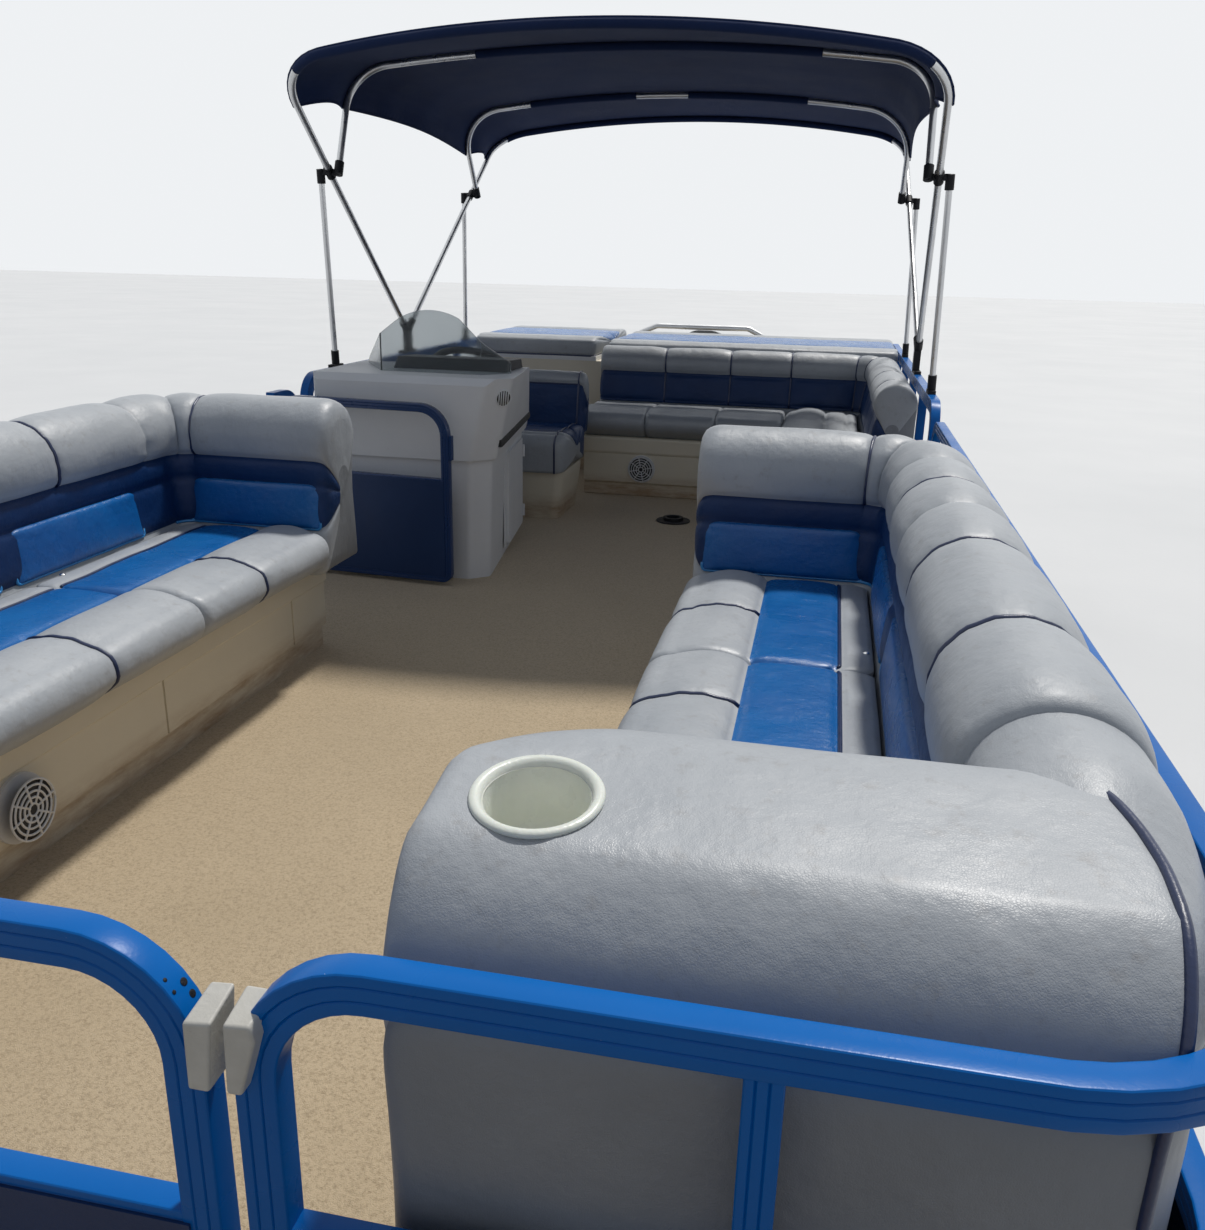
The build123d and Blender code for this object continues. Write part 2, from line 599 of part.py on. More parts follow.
CUP_RISE = ARM_TOP - 9.4 - (172 - CUP_S) * math.tan(math.radians(CUP_TILT))
cup_plane = Plane(
    origin=(CUP_X, COUCH_Y0 + CUP_S, DECK_TOP + CUP_RISE), x_dir=(1, 0, 0),
    z_dir=(0, -math.sin(math.radians(CUP_TILT)), math.cos(math.radians(CUP_TILT))),
)
with BuildPart() as front_back_cushions:
    low = DECK_TOP + SEAT_BASE_TOP
    high = DECK_TOP + BACK_TOP
    arm_len = BACK_OUT - 6 - COUCH_FRONT_X
    for side, y1 in ((-1, STAR_COUCH_Y1), (1, PORT_COUCH_Y1)):
        # The side run and both arms run into each other at the corners.
        start = y1 if side > 0 else COUCH_Y0 + 60
        run_len = y1 - COUCH_Y0 - 60
        back_run(
            (side * BACK_OUT, start, 0), (-side, 0, 0), (0, -side, 0), run_len,
            low, high, BACK_FOOT, ROLL_W,
        )
        back_run(
            (side * (BACK_OUT - 6), y1, 0), (0, -1, 0), (-side, 0, 0), arm_len - 20,
            low, high, BACK_FOOT, ROLL_W,
        )
        front_arm(side, arm_len)
    with BuildSketch(Plane.XY.offset(DECK_TOP)) as plan:
        for side, y1 in ((-1, STAR_COUCH_Y1), (1, PORT_COUCH_Y1)):
            with Locations((side * (BACK_OUT + COUCH_FRONT_X) / 2, (COUCH_Y0 + y1) / 2)):
                Rectangle(BACK_OUT - COUCH_FRONT_X, y1 - COUCH_Y0)
        outer = [v for v in plan.vertices() if abs(v.X) > BACK_OUT - 1]
        fillet([v for v in outer if v.Y < COUCH_Y0 + 1], 171)
        outer = [v for v in plan.vertices() if abs(v.X) > BACK_OUT - 1 and v.Y > PORT_COUCH_Y1 - 1]
        fillet(outer, AFT_CORNER_R)
    extrude(plan.sketch, amount=BACK_TOP + 10, mode=Mode.INTERSECT)
    with Locations(cup_plane.offset(-36)):
        Cylinder(CUP_R + 4, 76, mode=Mode.SUBTRACT)
front_back_cushions.part.label = "front_back_cushions"
export_step(front_back_cushions.part, "parts/front_back_cushions.step")

with BuildPart(cup_plane) as cup_holder:
    with Locations((0, 0, 2.5)):
        Cylinder(CUP_R + 9, 5)
    with Locations((0, 0, -CUP_DEPTH / 2)):
        Cylinder(CUP_R + 2.5, CUP_DEPTH)
    with Locations((0, 0, (8 - CUP_DEPTH + 2.5) / 2)):
        Cylinder(CUP_R, 8 + CUP_DEPTH - 2.5, mode=Mode.SUBTRACT)
cup_holder.part.label = "cup_holder"
export_step(cup_holder.part, "parts/cup_holder.step")

# Stern couch: a run across the stern and a leg along the port fence
with BuildPart() as stern_couch_base:
    plane = Plane(origin=(STERN_X0 + 15, STERN_Y0 + 45, DECK_TOP), x_dir=(0, 1, 0), z_dir=(1, 0, 0))
    extrude(base_section(plane, STERN_Y1 - STERN_Y0 - 45, STERN_BASE_TOP), amount=BACK_OUT - STERN_X0 - 15)
    plane = Plane(origin=(LEG_X0 + 45, STERN_Y1, DECK_TOP), x_dir=(1, 0, 0), z_dir=(0, -1, 0))
    extrude(base_section(plane, BACK_OUT - LEG_X0 - 45, STERN_BASE_TOP), amount=STERN_Y1 - LEG_Y0 - 12)
    wall = TOE_IN + SHELL_T
    block(
        STERN_X0 + 15 + SHELL_T, BACK_OUT - SHELL_T, STERN_Y0 + 45 + wall, STERN_Y1 - SHELL_T,
        DECK_TOP - 1, DECK_TOP + STERN_BASE_TOP - SHELL_T, mode=Mode.SUBTRACT,
    )
    block(
        LEG_X0 + 45 + wall, BACK_OUT - SHELL_T, LEG_Y0 + 12 + SHELL_T, STERN_Y1 - SHELL_T,
        DECK_TOP - 1, DECK_TOP + STERN_BASE_TOP - SHELL_T, mode=Mode.SUBTRACT,
    )
stern_couch_base.part.label = "stern_couch_base"
export_step(stern_couch_base.part, "parts/stern_couch_base.step")

STERN_CUTS = (STERN_X0, -60.0, 280.0, LEG_X0 - 6.0)
with BuildPart() as stern_seat_cushions:
    seat_z = DECK_TOP + STERN_BASE_TOP
    y_depth = STERN_Y1 - STERN_FOOT - 4 - STERN_Y0
    leg_depth = BACK_OUT - STERN_FOOT - 4 - LEG_X0
    for a, b in zip(STERN_CUTS[:-1], STERN_CUTS[1:]):
        plane = Plane(origin=(a + 2, STERN_Y0, seat_z), x_dir=(0, 1, 0), z_dir=(1, 0, 0))
        extrude(seat_section(plane, y_depth), amount=b - a - 4)
    leg_cuts = (LEG_Y0 + 5, (LEG_Y0 + STERN_Y0) / 2, STERN_Y0)
    for a, b in zip(leg_cuts[:-1], leg_cuts[1:]):
        plane = Plane(origin=(LEG_X0, b - 2, seat_z), x_dir=(1, 0, 0), z_dir=(0, -1, 0))
        extrude(seat_section(plane, leg_depth), amount=b - a - 4)
    block(LEG_X0 - 4, LEG_X0 + leg_depth, STERN_Y0 + 2, STERN_Y0 + y_depth, seat_z, seat_z + 122)
stern_seat_cushions.part.label = "stern_seat_cushions"
export_step(stern_seat_cushions.part, "parts/stern_seat_cushions.step")

with BuildPart() as stern_back_cushions:
    low = DECK_TOP + STERN_BASE_TOP
    high = DECK_TOP + STERN_BACK_TOP
    back_run(
        (BACK_OUT - 6, STERN_Y1, 0), (0, -1, 0), (-1, 0, 0), BACK_OUT - 6 - STERN_X0,
        low, high, STERN_FOOT, STERN_ROLL_W,
    )
    back_run(
        (BACK_OUT, STERN_Y1, 0), (-1, 0, 0), (0, -1, 0), STERN_Y1 - LEG_Y0,
        low, high, STERN_FOOT, STERN_ROLL_W,
    )
stern_back_cushions.part.label = "stern_back_cushions"
export_step(stern_back_cushions.part, "parts/stern_back_cushions.step")

# Sun deck with a hinged lid on the starboard side
LID_AXIS_Y = SUN_Y1 + LID_BARREL_R + 2.0
LID_AXIS_Z = DECK_TOP + SUN_TOP + LID_BARREL_R + 1.0
LID_HINGES = (STAR_LID_X0 + 150.0, STAR_LID_X1 - 150.0)
CABINET_SPLIT = STAR_LID_X1 - 30.0
with BuildPart() as sundeck_cabinet:
    z1 = DECK_TOP + SUN_TOP
    block(-BACK_OUT, BACK_OUT, SUN_Y0, SUN_Y1, DECK_TOP, z1)
    block(
        -BACK_OUT + SUN_WALL, CABINET_SPLIT, SUN_Y0 + SUN_WALL, SUN_Y1 - SUN_WALL,
        DECK_TOP + SUN_WALL, z1 + 1, mode=Mode.SUBTRACT,
    )
    # The port side is closed on top and open below.
    block(
        CABINET_SPLIT + SUN_WALL, BACK_OUT - SUN_WALL, SUN_Y0 + SUN_WALL, SUN_Y1 - SUN_WALL,
        DECK_TOP - 1, z1 - SUN_WALL, mode=Mode.SUBTRACT,
    )
    for x in LID_HINGES:
        for out in (-1, 1):
            with Locations(Location((x + out * 23, LID_AXIS_Y, LID_AXIS_Z), (0, 90, 0))):
                Cylinder(LID_BARREL_R, 15)
            tab_x0 = x + out * 23 - 7.5
            tab_y1 = LID_AXIS_Y + LID_BARREL_R - 2
            block(tab_x0, tab_x0 + 15, SUN_Y1 - 1, tab_y1, z1 - 30, z1 - 1)
            block(tab_x0, tab_x0 + 15, SUN_Y1 + 1, tab_y1, z1 - 2, LID_AXIS_Z)
        with Locations(Location((x, LID_AXIS_Y, LID_AXIS_Z), (0, 90, 0))):
            Cylinder(LID_PIN_R, 50)
sundeck_cabinet.part.label = "sundeck_cabinet"
export_step(sundeck_cabinet.part, "parts/sundeck_cabinet.step")

with BuildPart() as sundeck_lid:
    block(STAR_LID_X0, STAR_LID_X1, SUN_Y0 + 3, SUN_Y1, DECK_TOP + SUN_TOP, DECK_TOP + SUN_TOP + LID_T)
    for x in LID_HINGES:
        block(
            x - 15, x + 15, SUN_Y1 - 1, LID_AXIS_Y, LID_AXIS_Z + LID_PIN_R + 1, DECK_TOP + SUN_TOP + LID_T,
        )
        with Locations(Location((x, LID_AXIS_Y, LID_AXIS_Z), (0, 90, 0))):
            Cylinder(LID_BARREL_R, 30)
            Cylinder(LID_PIN_R + PIN_FIT, 30, mode=Mode.SUBTRACT)
sundeck_lid.part.label = "sundeck_lid"
export_step(sundeck_lid.part, "parts/sundeck_lid.step")


def pad(x0, x1, z0, thick):
    # A flat pad with a raised roll along its front edge.
    y0 = SUN_Y0 + 8
    y1 = SUN_Y1 - 8
    with BuildSketch(Plane(origin=(x0, 0, 0), x_dir=(0, 1, 0), z_dir=(1, 0, 0))) as sk:
        with BuildLine():
            Polyline(
                (y0, z0 + thick - 20), (y0, z0), (y1, z0), (y1, z0 + thick - 16), (y1 - 20, z0 + thick),
                (y0 + 170, z0 + thick),
            )
            ThreePointArc((y0 + 170, z0 + thick), (y0 + 80, z0 + thick + 18), (y0, z0 + thick - 20))
        make_face()
    extrude(sk.sketch, amount=x1 - x0)


with BuildPart() as port_sun_pad:
    pad(STERN_X0, BACK_OUT - 6, DECK_TOP + SUN_TOP, 92)
port_sun_pad.part.label = "port_sun_pad"
export_step(port_sun_pad.part, "parts/port_sun_pad.step")

with BuildPart() as starboard_sun_pad:
    pad(STAR_LID_X0 + 4, STAR_LID_X1 - 4, DECK_TOP + SUN_TOP + LID_T, 75)
starboard_sun_pad.part.label = "starboard_sun_pad"
export_step(starboard_sun_pad.part, "parts/starboard_sun_pad.step")

# Helm console: the inboard side tapers aft and flares upwards
Z_WAIST = DECK_TOP + CONSOLE_WAIST
Z_CONSOLE = DECK_TOP + CONSOLE_TOP
SIDE_RUN = Vector(CONSOLE_REAR_X - CONSOLE_FRONT_X, CONSOLE_Y1 - CONSOLE_Y0 - 75, 0)
side_face = Plane(
    origin=(CONSOLE_FRONT_X, CONSOLE_Y0 + 75, DECK_TOP), x_dir=(SIDE_RUN.X, SIDE_RUN.Y, 0),
    z_dir=(SIDE_RUN.Y, -SIDE_RUN.X, 0),
)


def console_plan(z, grow, inset):
    with BuildSketch(Plane.XY.offset(z)) as sk:
        with BuildLine():
            Polyline(
                (CONSOLE_X0 + inset, CONSOLE_Y0 + inset),
                (CONSOLE_FRONT_X - 75 + grow, CONSOLE_Y0 + inset),
                (CONSOLE_FRONT_X + grow - inset / 2, CONSOLE_Y0 + 75),
                (CONSOLE_REAR_X + grow - inset / 2, CONSOLE_Y1 - inset),
                (CONSOLE_X0 + inset, CONSOLE_Y1 - inset),
                (CONSOLE_X0 + inset, CONSOLE_Y0 + inset),
            )
        make_face()
        fillet(sk.vertices(), 28)
    return sk.sketch


HATCH_S0 = 330.0
HATCH_S1 = 680.0
HATCH_Z0 = 60.0
HATCH_Z1 = 395.0
DOOR_LAP = 15.0
DOOR_T = 12.0
with BuildPart() as console:
    loft([console_plan(Z_WAIST, 0, 0), console_plan(Z_CONSOLE, CONSOLE_FLARE, 0)])
    with BuildSketch(side_plane_at(CONSOLE_X0 - 5)) as profile:
        with BuildLine():
            Polyline(
                (CONSOLE_Y0 - 5, Z_WAIST),
                (CONSOLE_Y1 + 5, Z_WAIST),
                (CONSOLE_Y1 + 5, DECK_TOP + HELM_LOW_Z),
                (HELM_TOP_Y, Z_CONSOLE),
                (CONSOLE_Y0 + 24, Z_CONSOLE),
                (CONSOLE_Y0 - 5, Z_CONSOLE - 30),
                (CONSOLE_Y0 - 5, Z_WAIST),
            )
        make_face()
    extrude(profile.sketch, amount=CONSOLE_FRONT_X + CONSOLE_FLARE - CONSOLE_X0 + 20, mode=Mode.INTERSECT)
    loft([console_plan(DECK_TOP, -20, 18), console_plan(Z_WAIST, -8, 14)])
    # Hollow below the waist, open through the hatch in the inboard side.
    block(
        CONSOLE_X0 + 18 + CONSOLE_WALL, CONSOLE_REAR_X - 28 - CONSOLE_WALL,
        CONSOLE_Y0 + 40 + CONSOLE_WALL, CONSOLE_Y1 - 18 - CONSOLE_WALL,
        DECK_TOP + 20, Z_WAIST - 20, mode=Mode.SUBTRACT,
    )
    with BuildSketch(side_face.offset(-125)) as hatch:
        with Locations(((HATCH_S0 + HATCH_S1) / 2, (HATCH_Z0 + HATCH_Z1) / 2)):
            Rectangle(HATCH_S1 - HATCH_S0, HATCH_Z1 - HATCH_Z0)
    extrude(hatch.sketch, amount=140, mode=Mode.SUBTRACT)
    # A flat land around the hatch takes the door.
    with BuildSketch(side_face.offset(-22)) as land:
        with Locations(((HATCH_S0 + HATCH_S1) / 2, (HATCH_Z0 + HATCH_Z1) / 2)):
            Rectangle(HATCH_S1 - HATCH_S0 + 80, HATCH_Z1 - HATCH_Z0 + 50)
            Rectangle(HATCH_S1 - HATCH_S0, HATCH_Z1 - HATCH_Z0, mode=Mode.SUBTRACT)
    extrude(land.sketch, amount=6)
    with BuildSketch(side_face.offset(-16)) as shave:
        with Locations(((HATCH_S0 + HATCH_S1) / 2, (HATCH_Z0 + HATCH_Z1) / 2)):
            Rectangle(HATCH_S1 - HATCH_S0 + 80, HATCH_Z1 - HATCH_Z0 + 50)
    extrude(shave.sketch, amount=20, mode=Mode.SUBTRACT)
console.part.label = "console"
export_step(console.part, "parts/console.step")

DOOR_AXIS_S = HATCH_S1 + DOOR_LAP
DOOR_AXIS_OUT = 0.0
with BuildPart() as console_door:
    with BuildSketch(side_face.offset(-16)) as leaf:
        with Locations(((HATCH_S0 + HATCH_S1) / 2, (HATCH_Z0 + HATCH_Z1) / 2)):
            RectangleRounded(HATCH_S1 - HATCH_S0 + 2 * DOOR_LAP, HATCH_Z1 - HATCH_Z0 + 2 * DOOR_LAP, 12)
    extrude(leaf.sketch, amount=DOOR_T)
    for z in (HATCH_Z0 + 40, HATCH_Z1 - 40):
        start = side_face.from_local_coords((DOOR_AXIS_S, z - 25, DOOR_AXIS_OUT))
        finish = side_face.from_local_coords((DOOR_AXIS_S, z + 25, DOOR_AXIS_OUT))
        rod((start.X, start.Y, start.Z), (finish.X, finish.Y, finish.Z), 5)
console_door.part.label = "console_door"
export_step(console_door.part, "parts/console_door.step")

with BuildPart() as dash:
    with BuildSketch(side_plane_at(-800.0)) as profile:
        with BuildLine():
            Polyline(
                (CONSOLE_Y0 + 250, Z_CONSOLE),
                (HELM_TOP_Y - 4, Z_CONSOLE),
                (HELM_TOP_Y - 20, Z_CONSOLE + 34),
                (CONSOLE_Y0 + 300, Z_CONSOLE + 40),
                (CONSOLE_Y0 + 250, Z_CONSOLE),
            )
        make_face()
    extrude(profile.sketch, amount=440)
dash.part.label = "dash"
export_step(dash.part, "parts/dash.step")

SCREEN_T = 6.0
with BuildPart() as windshield:
    with BuildSketch(Plane.XY.offset(Z_CONSOLE)) as plan:
        with BuildLine():
            outer = Polyline(
                (-955.0, CONSOLE_Y0 + 400), (-800.0, CONSOLE_Y0 + 150), (-420.0, CONSOLE_Y0 + 140),
                (-340.0, CONSOLE_Y0 + 235),
            )
            offset(outer, amount=SCREEN_T, side=Side.RIGHT)
        make_face()
    extrude(plan.sketch, amount=260)
    front = Plane(origin=(0, CONSOLE_Y0 + 450, Z_CONSOLE), x_dir=(1, 0, 0), z_dir=(0, -1, 0))
    with BuildSketch(front) as outline:
        with BuildLine():
            Polyline((-330, 30), (-330, 0), (-965, 0), (-940, 30), (-740, 178))
            ThreePointArc((-740, 178), (-625, 218), (-500, 192))
            Line((-500, 192), (-330, 30))
        make_face()
    extrude(outline.sketch, amount=450, mode=Mode.INTERSECT)
windshield.part.label = "windshield"
export_step(windshield.part, "parts/windshield.step")

# The wheel turns on a boss that stands square on the sloping face.
face_run = CONSOLE_Y1 + 5 - HELM_TOP_Y
face_drop = CONSOLE_TOP - HELM_LOW_Z
slope = math.atan2(face_drop, face_run)
WHEEL_AXIS = (0, math.sin(slope), math.cos(slope))
WHEEL_Y = HELM_TOP_Y + 0.5 * face_run
WHEEL_Z = Z_CONSOLE - 0.5 * face_drop
wheel_plane = Plane(origin=(WHEEL_X, WHEEL_Y, WHEEL_Z), x_dir=(1, 0, 0), z_dir=WHEEL_AXIS)
with BuildPart(wheel_plane) as helm_wheel:
    with Locations((0, 0, 40)):
        Cylinder(24, 80)
    with Locations((0, 0, 95)):
        Torus(WHEEL_R - 14, 14)
    for angle in (90, 210, 330):
        with Locations(Location((0, 0, 74), (0, 0, angle))):
            with Locations((WHEEL_R / 2 - 6, 0, 8)):
                Box(WHEEL_R - 28, 26, 10, rotation=(0, -7, 0))
helm_wheel.part.label = "helm_wheel"
export_step(helm_wheel.part, "parts/helm_wheel.step")

THROTTLE_X = -530.0
with BuildPart() as throttle:
    y = CONSOLE_Y1
    block(THROTTLE_X, THROTTLE_X + 50, y, y + 46, Z_WAIST + 2, Z_WAIST + 40)
    rod((THROTTLE_X + 25, y + 30, Z_WAIST + 30), (THROTTLE_X + 25, y + 52, Z_WAIST + 150), 8)
    rod((THROTTLE_X + 25, y + 50, Z_WAIST + 145), (THROTTLE_X + 70, y + 50, Z_WAIST + 145), 15)
throttle.part.label = "throttle"
export_step(throttle.part, "parts/throttle.step")

CHAIR_BASE_H = 215.0
with BuildPart() as helm_chair_base:
    sections = []
    for z, size in ((0.0, 350.0), (CHAIR_BASE_H - 30, 392.0), (CHAIR_BASE_H, 392.0)):
        with BuildSketch(Plane.XY.offset(DECK_TOP + z)) as section:
            with Locations((CHAIR_X, CHAIR_Y)):
                RectangleRounded(size, size + 20, 40)
        sections.append(section.sketch)
    loft(sections, ruled=True)
helm_chair_base.part.label = "helm_chair_base"
export_step(helm_chair_base.part, "parts/helm_chair_base.step")

with BuildPart() as helm_chair_seat:
    block(
        CHAIR_X - 215, CHAIR_X + 215, CHAIR_Y - 232, CHAIR_Y + 200, DECK_TOP + CHAIR_BASE_H, DECK_TOP + 392,
    )
    fillet(helm_chair_seat.edges(), 38)
helm_chair_seat.part.label = "helm_chair_seat"
export_step(helm_chair_seat.part, "parts/helm_chair_seat.step")

with BuildPart() as helm_chair_back:
    with BuildSketch(side_plane_at(CHAIR_X - 200)) as profile:
        with BuildLine():
            Polyline(
                (CHAIR_Y + 204, DECK_TOP + 300), (CHAIR_Y + 300, DECK_TOP + 300),
                (CHAIR_Y + 336, DECK_TOP + 570),
            )
            ThreePointArc(
                (CHAIR_Y + 336, DECK_TOP + 570), (CHAIR_Y + 280, DECK_TOP + 612),
                (CHAIR_Y + 224, DECK_TOP + 570),
            )
            Line((CHAIR_Y + 224, DECK_TOP + 570), (CHAIR_Y + 204, DECK_TOP + 300))
        make_face()
    extrude(profile.sketch, amount=400)
    block(
        CHAIR_X - 90, CHAIR_X + 90, CHAIR_Y + 206, CHAIR_Y + 236,
        DECK_TOP + CHAIR_BASE_H - 28, DECK_TOP + 305,
    )
helm_chair_back.part.label = "helm_chair_back"
export_step(helm_chair_back.part, "parts/helm_chair_back.step")

# Fittings
with BuildPart() as table_socket:
    with Locations((TABLE_X, TABLE_Y, DECK_TOP + 3)):
        Cylinder(77, 6)
    with Locations((TABLE_X, TABLE_Y, DECK_TOP + 10)):
        Cylinder(46, 20)
        Cylinder(TABLE_BORE_R, 20, mode=Mode.SUBTRACT)
table_socket.part.label = "table_socket"
export_step(table_socket.part, "parts/table_socket.step")

SPEAKER_T = 8.0
with BuildPart() as speakers:
    with Locations(
        Location((-(BASE_FACE_X + 8) + SPEAKER_T / 2, FENCE_Y + 940, DECK_TOP + 131), (0, 90, 0)),
        Location((-75, STERN_Y0 + 45 + 8 - SPEAKER_T / 2, DECK_TOP + 141), (90, 0, 0)),
    ):
        Cylinder(SPEAKER_R, SPEAKER_T)
speakers.part.label = "speakers"
export_step(speakers.part, "parts/speakers.step")

ARCH_FEET = (-412.0, 400.0)
with BuildPart() as stern_arch:
    with BuildLine(Plane(origin=(0, ARCH_Y, DECK_TOP), x_dir=(1, 0, 0), z_dir=(0, -1, 0))) as arch_path:
        FilletPolyline(
            (ARCH_FEET[0], 6), (ARCH_FEET[0], 680), (-285, 735),
            (290, 735), (ARCH_FEET[1], 680), (ARCH_FEET[1], 6),
            radius=60,
        )
    with BuildSketch(Plane(origin=arch_path.line @ 0, z_dir=arch_path.line % 0)):
        Circle(16)
    sweep()
    for x in ARCH_FEET:
        with Locations((x, ARCH_Y, DECK_TOP + 4)):
            Cylinder(44, 8)
stern_arch.part.label = "stern_arch"
export_step(stern_arch.part, "parts/stern_arch.step")

with BuildPart() as cleats:
    for x in (-DECK_HALF + 99, DECK_HALF - 99):
        for y in (DECK_FRONT + 120, DECK_REAR - 120):
            block(x - 20, x + 20, y - 60, y + 60, DECK_TOP, DECK_TOP + 8)
            block(x - 8, x + 8, y - 40, y - 22, DECK_TOP + 7, DECK_TOP + 40)
            block(x - 8, x + 8, y + 22, y + 40, DECK_TOP + 7, DECK_TOP + 40)
            rod((x, y - 105, DECK_TOP + 44), (x, y + 105, DECK_TOP + 44), 10)
cleats.part.label = "cleats"
export_step(cleats.part, "parts/cleats.step")


# Folding top
def bow_plane_of(y, z, y2, z2):
    # x to port, y up the bow's own slope.
    d = Vector(0, y2 - y, z2 - z).normalized()
    n = Vector(1, 0, 0).cross(d)
    return Plane(origin=(0, FENCE_Y + y, DECK_TOP + z), x_dir=(1, 0, 0), z_dir=(n.X, n.Y, n.Z))


def arch_points(half, radius, v0, v1):
    # A corner arc from the leg's end, then one broad arc that meets it smoothly at the crown's side.
    a = half - radius
    h = v1 - v0
    big = (a * a + h * h - radius * radius) / (2 * (h - radius))
    ang = math.atan2(v0 - v1 + big, a)
    end = (a + radius * math.cos(ang), v0 + radius * math.sin(ang))
    middle = (a + radius * math.cos(ang / 2), v0 + radius * math.sin(ang / 2))
    return (half, v0), middle, end, (0, v1)


def mirrored(p):
    return (-p[0], p[1])


# Main bows start at the hinge, second bows at a knee. Columns: foot y, foot z, point y and point z up
# the slope, foot half width, start of the tube from the foot, shoulder z, crown z, corner radius.
MAIN_START = 34.0
KNEE_START = 0.0
BOW_ROWS = (
    (HINGE_Y, HINGE_Z, FRONT_KNEE_Y, FRONT_KNEE_Z, HINGE_X, MAIN_START, 1608.0, 1803.0, CORNER_R),
    (FRONT_KNEE_Y, FRONT_KNEE_Z, 3580.0, 1700.0, KNEE_X - KNEE_STEP, KNEE_START, 1650.0, 1862.0, 170.0),
    (REAR_KNEE_Y, REAR_KNEE_Z, 4960.0, 1690.0, KNEE_X - KNEE_STEP, KNEE_START, 1610.0, 1858.0, CORNER_R),
    (HINGE_Y, HINGE_Z, REAR_KNEE_Y, REAR_KNEE_Z, HINGE_X, MAIN_START, 1625.0, 1850.0, CORNER_R),
)


def bow_data(row):
    y, z, y2, z2, foot_half, start, shoulder_z, crown_z, radius = row
    rise = (z2 - z) / math.hypot(y2 - y, z2 - z)
    half = min(foot_half, SHOULDER_X)
    return bow_plane_of(y, z, y2, z2), rise, (shoulder_z - z) / rise, (crown_z - z) / rise, half


def leg_angle(row):
    # The angle on the corner arc at which the straight leg from the foot meets it smoothly.
    plane, rise, v0, v1, half = bow_data(row)
    radius = row[8]
    across = half - radius - row[4]
    up = v0 - row[5]
    return math.atan2(up, across) - math.acos(-radius / math.hypot(across, up))


def corner_point(row, angle):
    plane, rise, v0, v1, half = bow_data(row)
    radius = row[8]
    return (half - radius + radius * math.cos(angle), v0 + radius * math.sin(angle))


def leg_ends(row, side):
    # World points at the foot of a bow's leg and at its shoulder.
    plane = bow_data(row)[0]
    x, v = corner_point(row, leg_angle(row))
    foot = plane.from_local_coords((side * row[4], row[5], 0))
    shoulder = plane.from_local_coords((side * x, v, 0))
    return foot, shoulder


with BuildPart() as top_bows:
    for row in BOW_ROWS:
        plane, rise, v0, v1, half = bow_data(row)
        p1, top = arch_points(half, row[8], v0, v1)[2:]
        first = leg_angle(row)
        last = math.atan2(p1[1] - v0, p1[0] - half + row[8])
        p0 = corner_point(row, first)
        pm = corner_point(row, (first + last) / 2)
        with BuildLine(plane) as line:
            Line((row[4], row[5]), p0)
            ThreePointArc(p0, pm, p1)
            ThreePointArc(p1, top, mirrored(p1))
            ThreePointArc(mirrored(p1), mirrored(pm), mirrored(p0))
            Line(mirrored(p0), (-row[4], row[5]))
        with BuildSketch(Plane(origin=line.line @ 0, z_dir=line.line % 0)) as disc:
            Circle(TOP_TUBE_R)
        sweep(disc.sketch, path=line.line)
top_bows.part.label = "top_bows"
export_step(top_bows.part, "parts/top_bows.step")

# Columns: foot y on the rail, main bow, second bow, knee y, knee z.
BRACE_ROWS = (
    (3560.0, BOW_ROWS[0], BOW_ROWS[1], FRONT_KNEE_Y, FRONT_KNEE_Z),
    (5205.0, BOW_ROWS[3], BOW_ROWS[2], REAR_KNEE_Y, REAR_KNEE_Z),
)
BRACE_R = 11.0
BRACE_FOOT_Z = HIGH_TOP + 26.0


def brace_ends(foot_y, knee_y, knee_z, side):
    foot = Vector(side * RAIL_X, FENCE_Y + foot_y, DECK_TOP + BRACE_FOOT_Z)
    knee = Vector(side * (KNEE_X + KNEE_STEP), FENCE_Y + knee_y, DECK_TOP + knee_z)
    return foot, knee


with BuildPart() as braces:
    for foot_y, main_row, second_row, knee_y, knee_z in BRACE_ROWS:
        for side in (-1, 1):
            foot, knee = brace_ends(foot_y, knee_y, knee_z, side)
            rod((foot.X, foot.Y, foot.Z), (knee.X, knee.Y, knee.Z), BRACE_R)
braces.part.label = "braces"
export_step(braces.part, "parts/braces.step")


def along(p, q, reach):
    d = (q - p).normalized()
    return (p.X + d.X * reach, p.Y + d.Y * reach, p.Z + d.Z * reach)


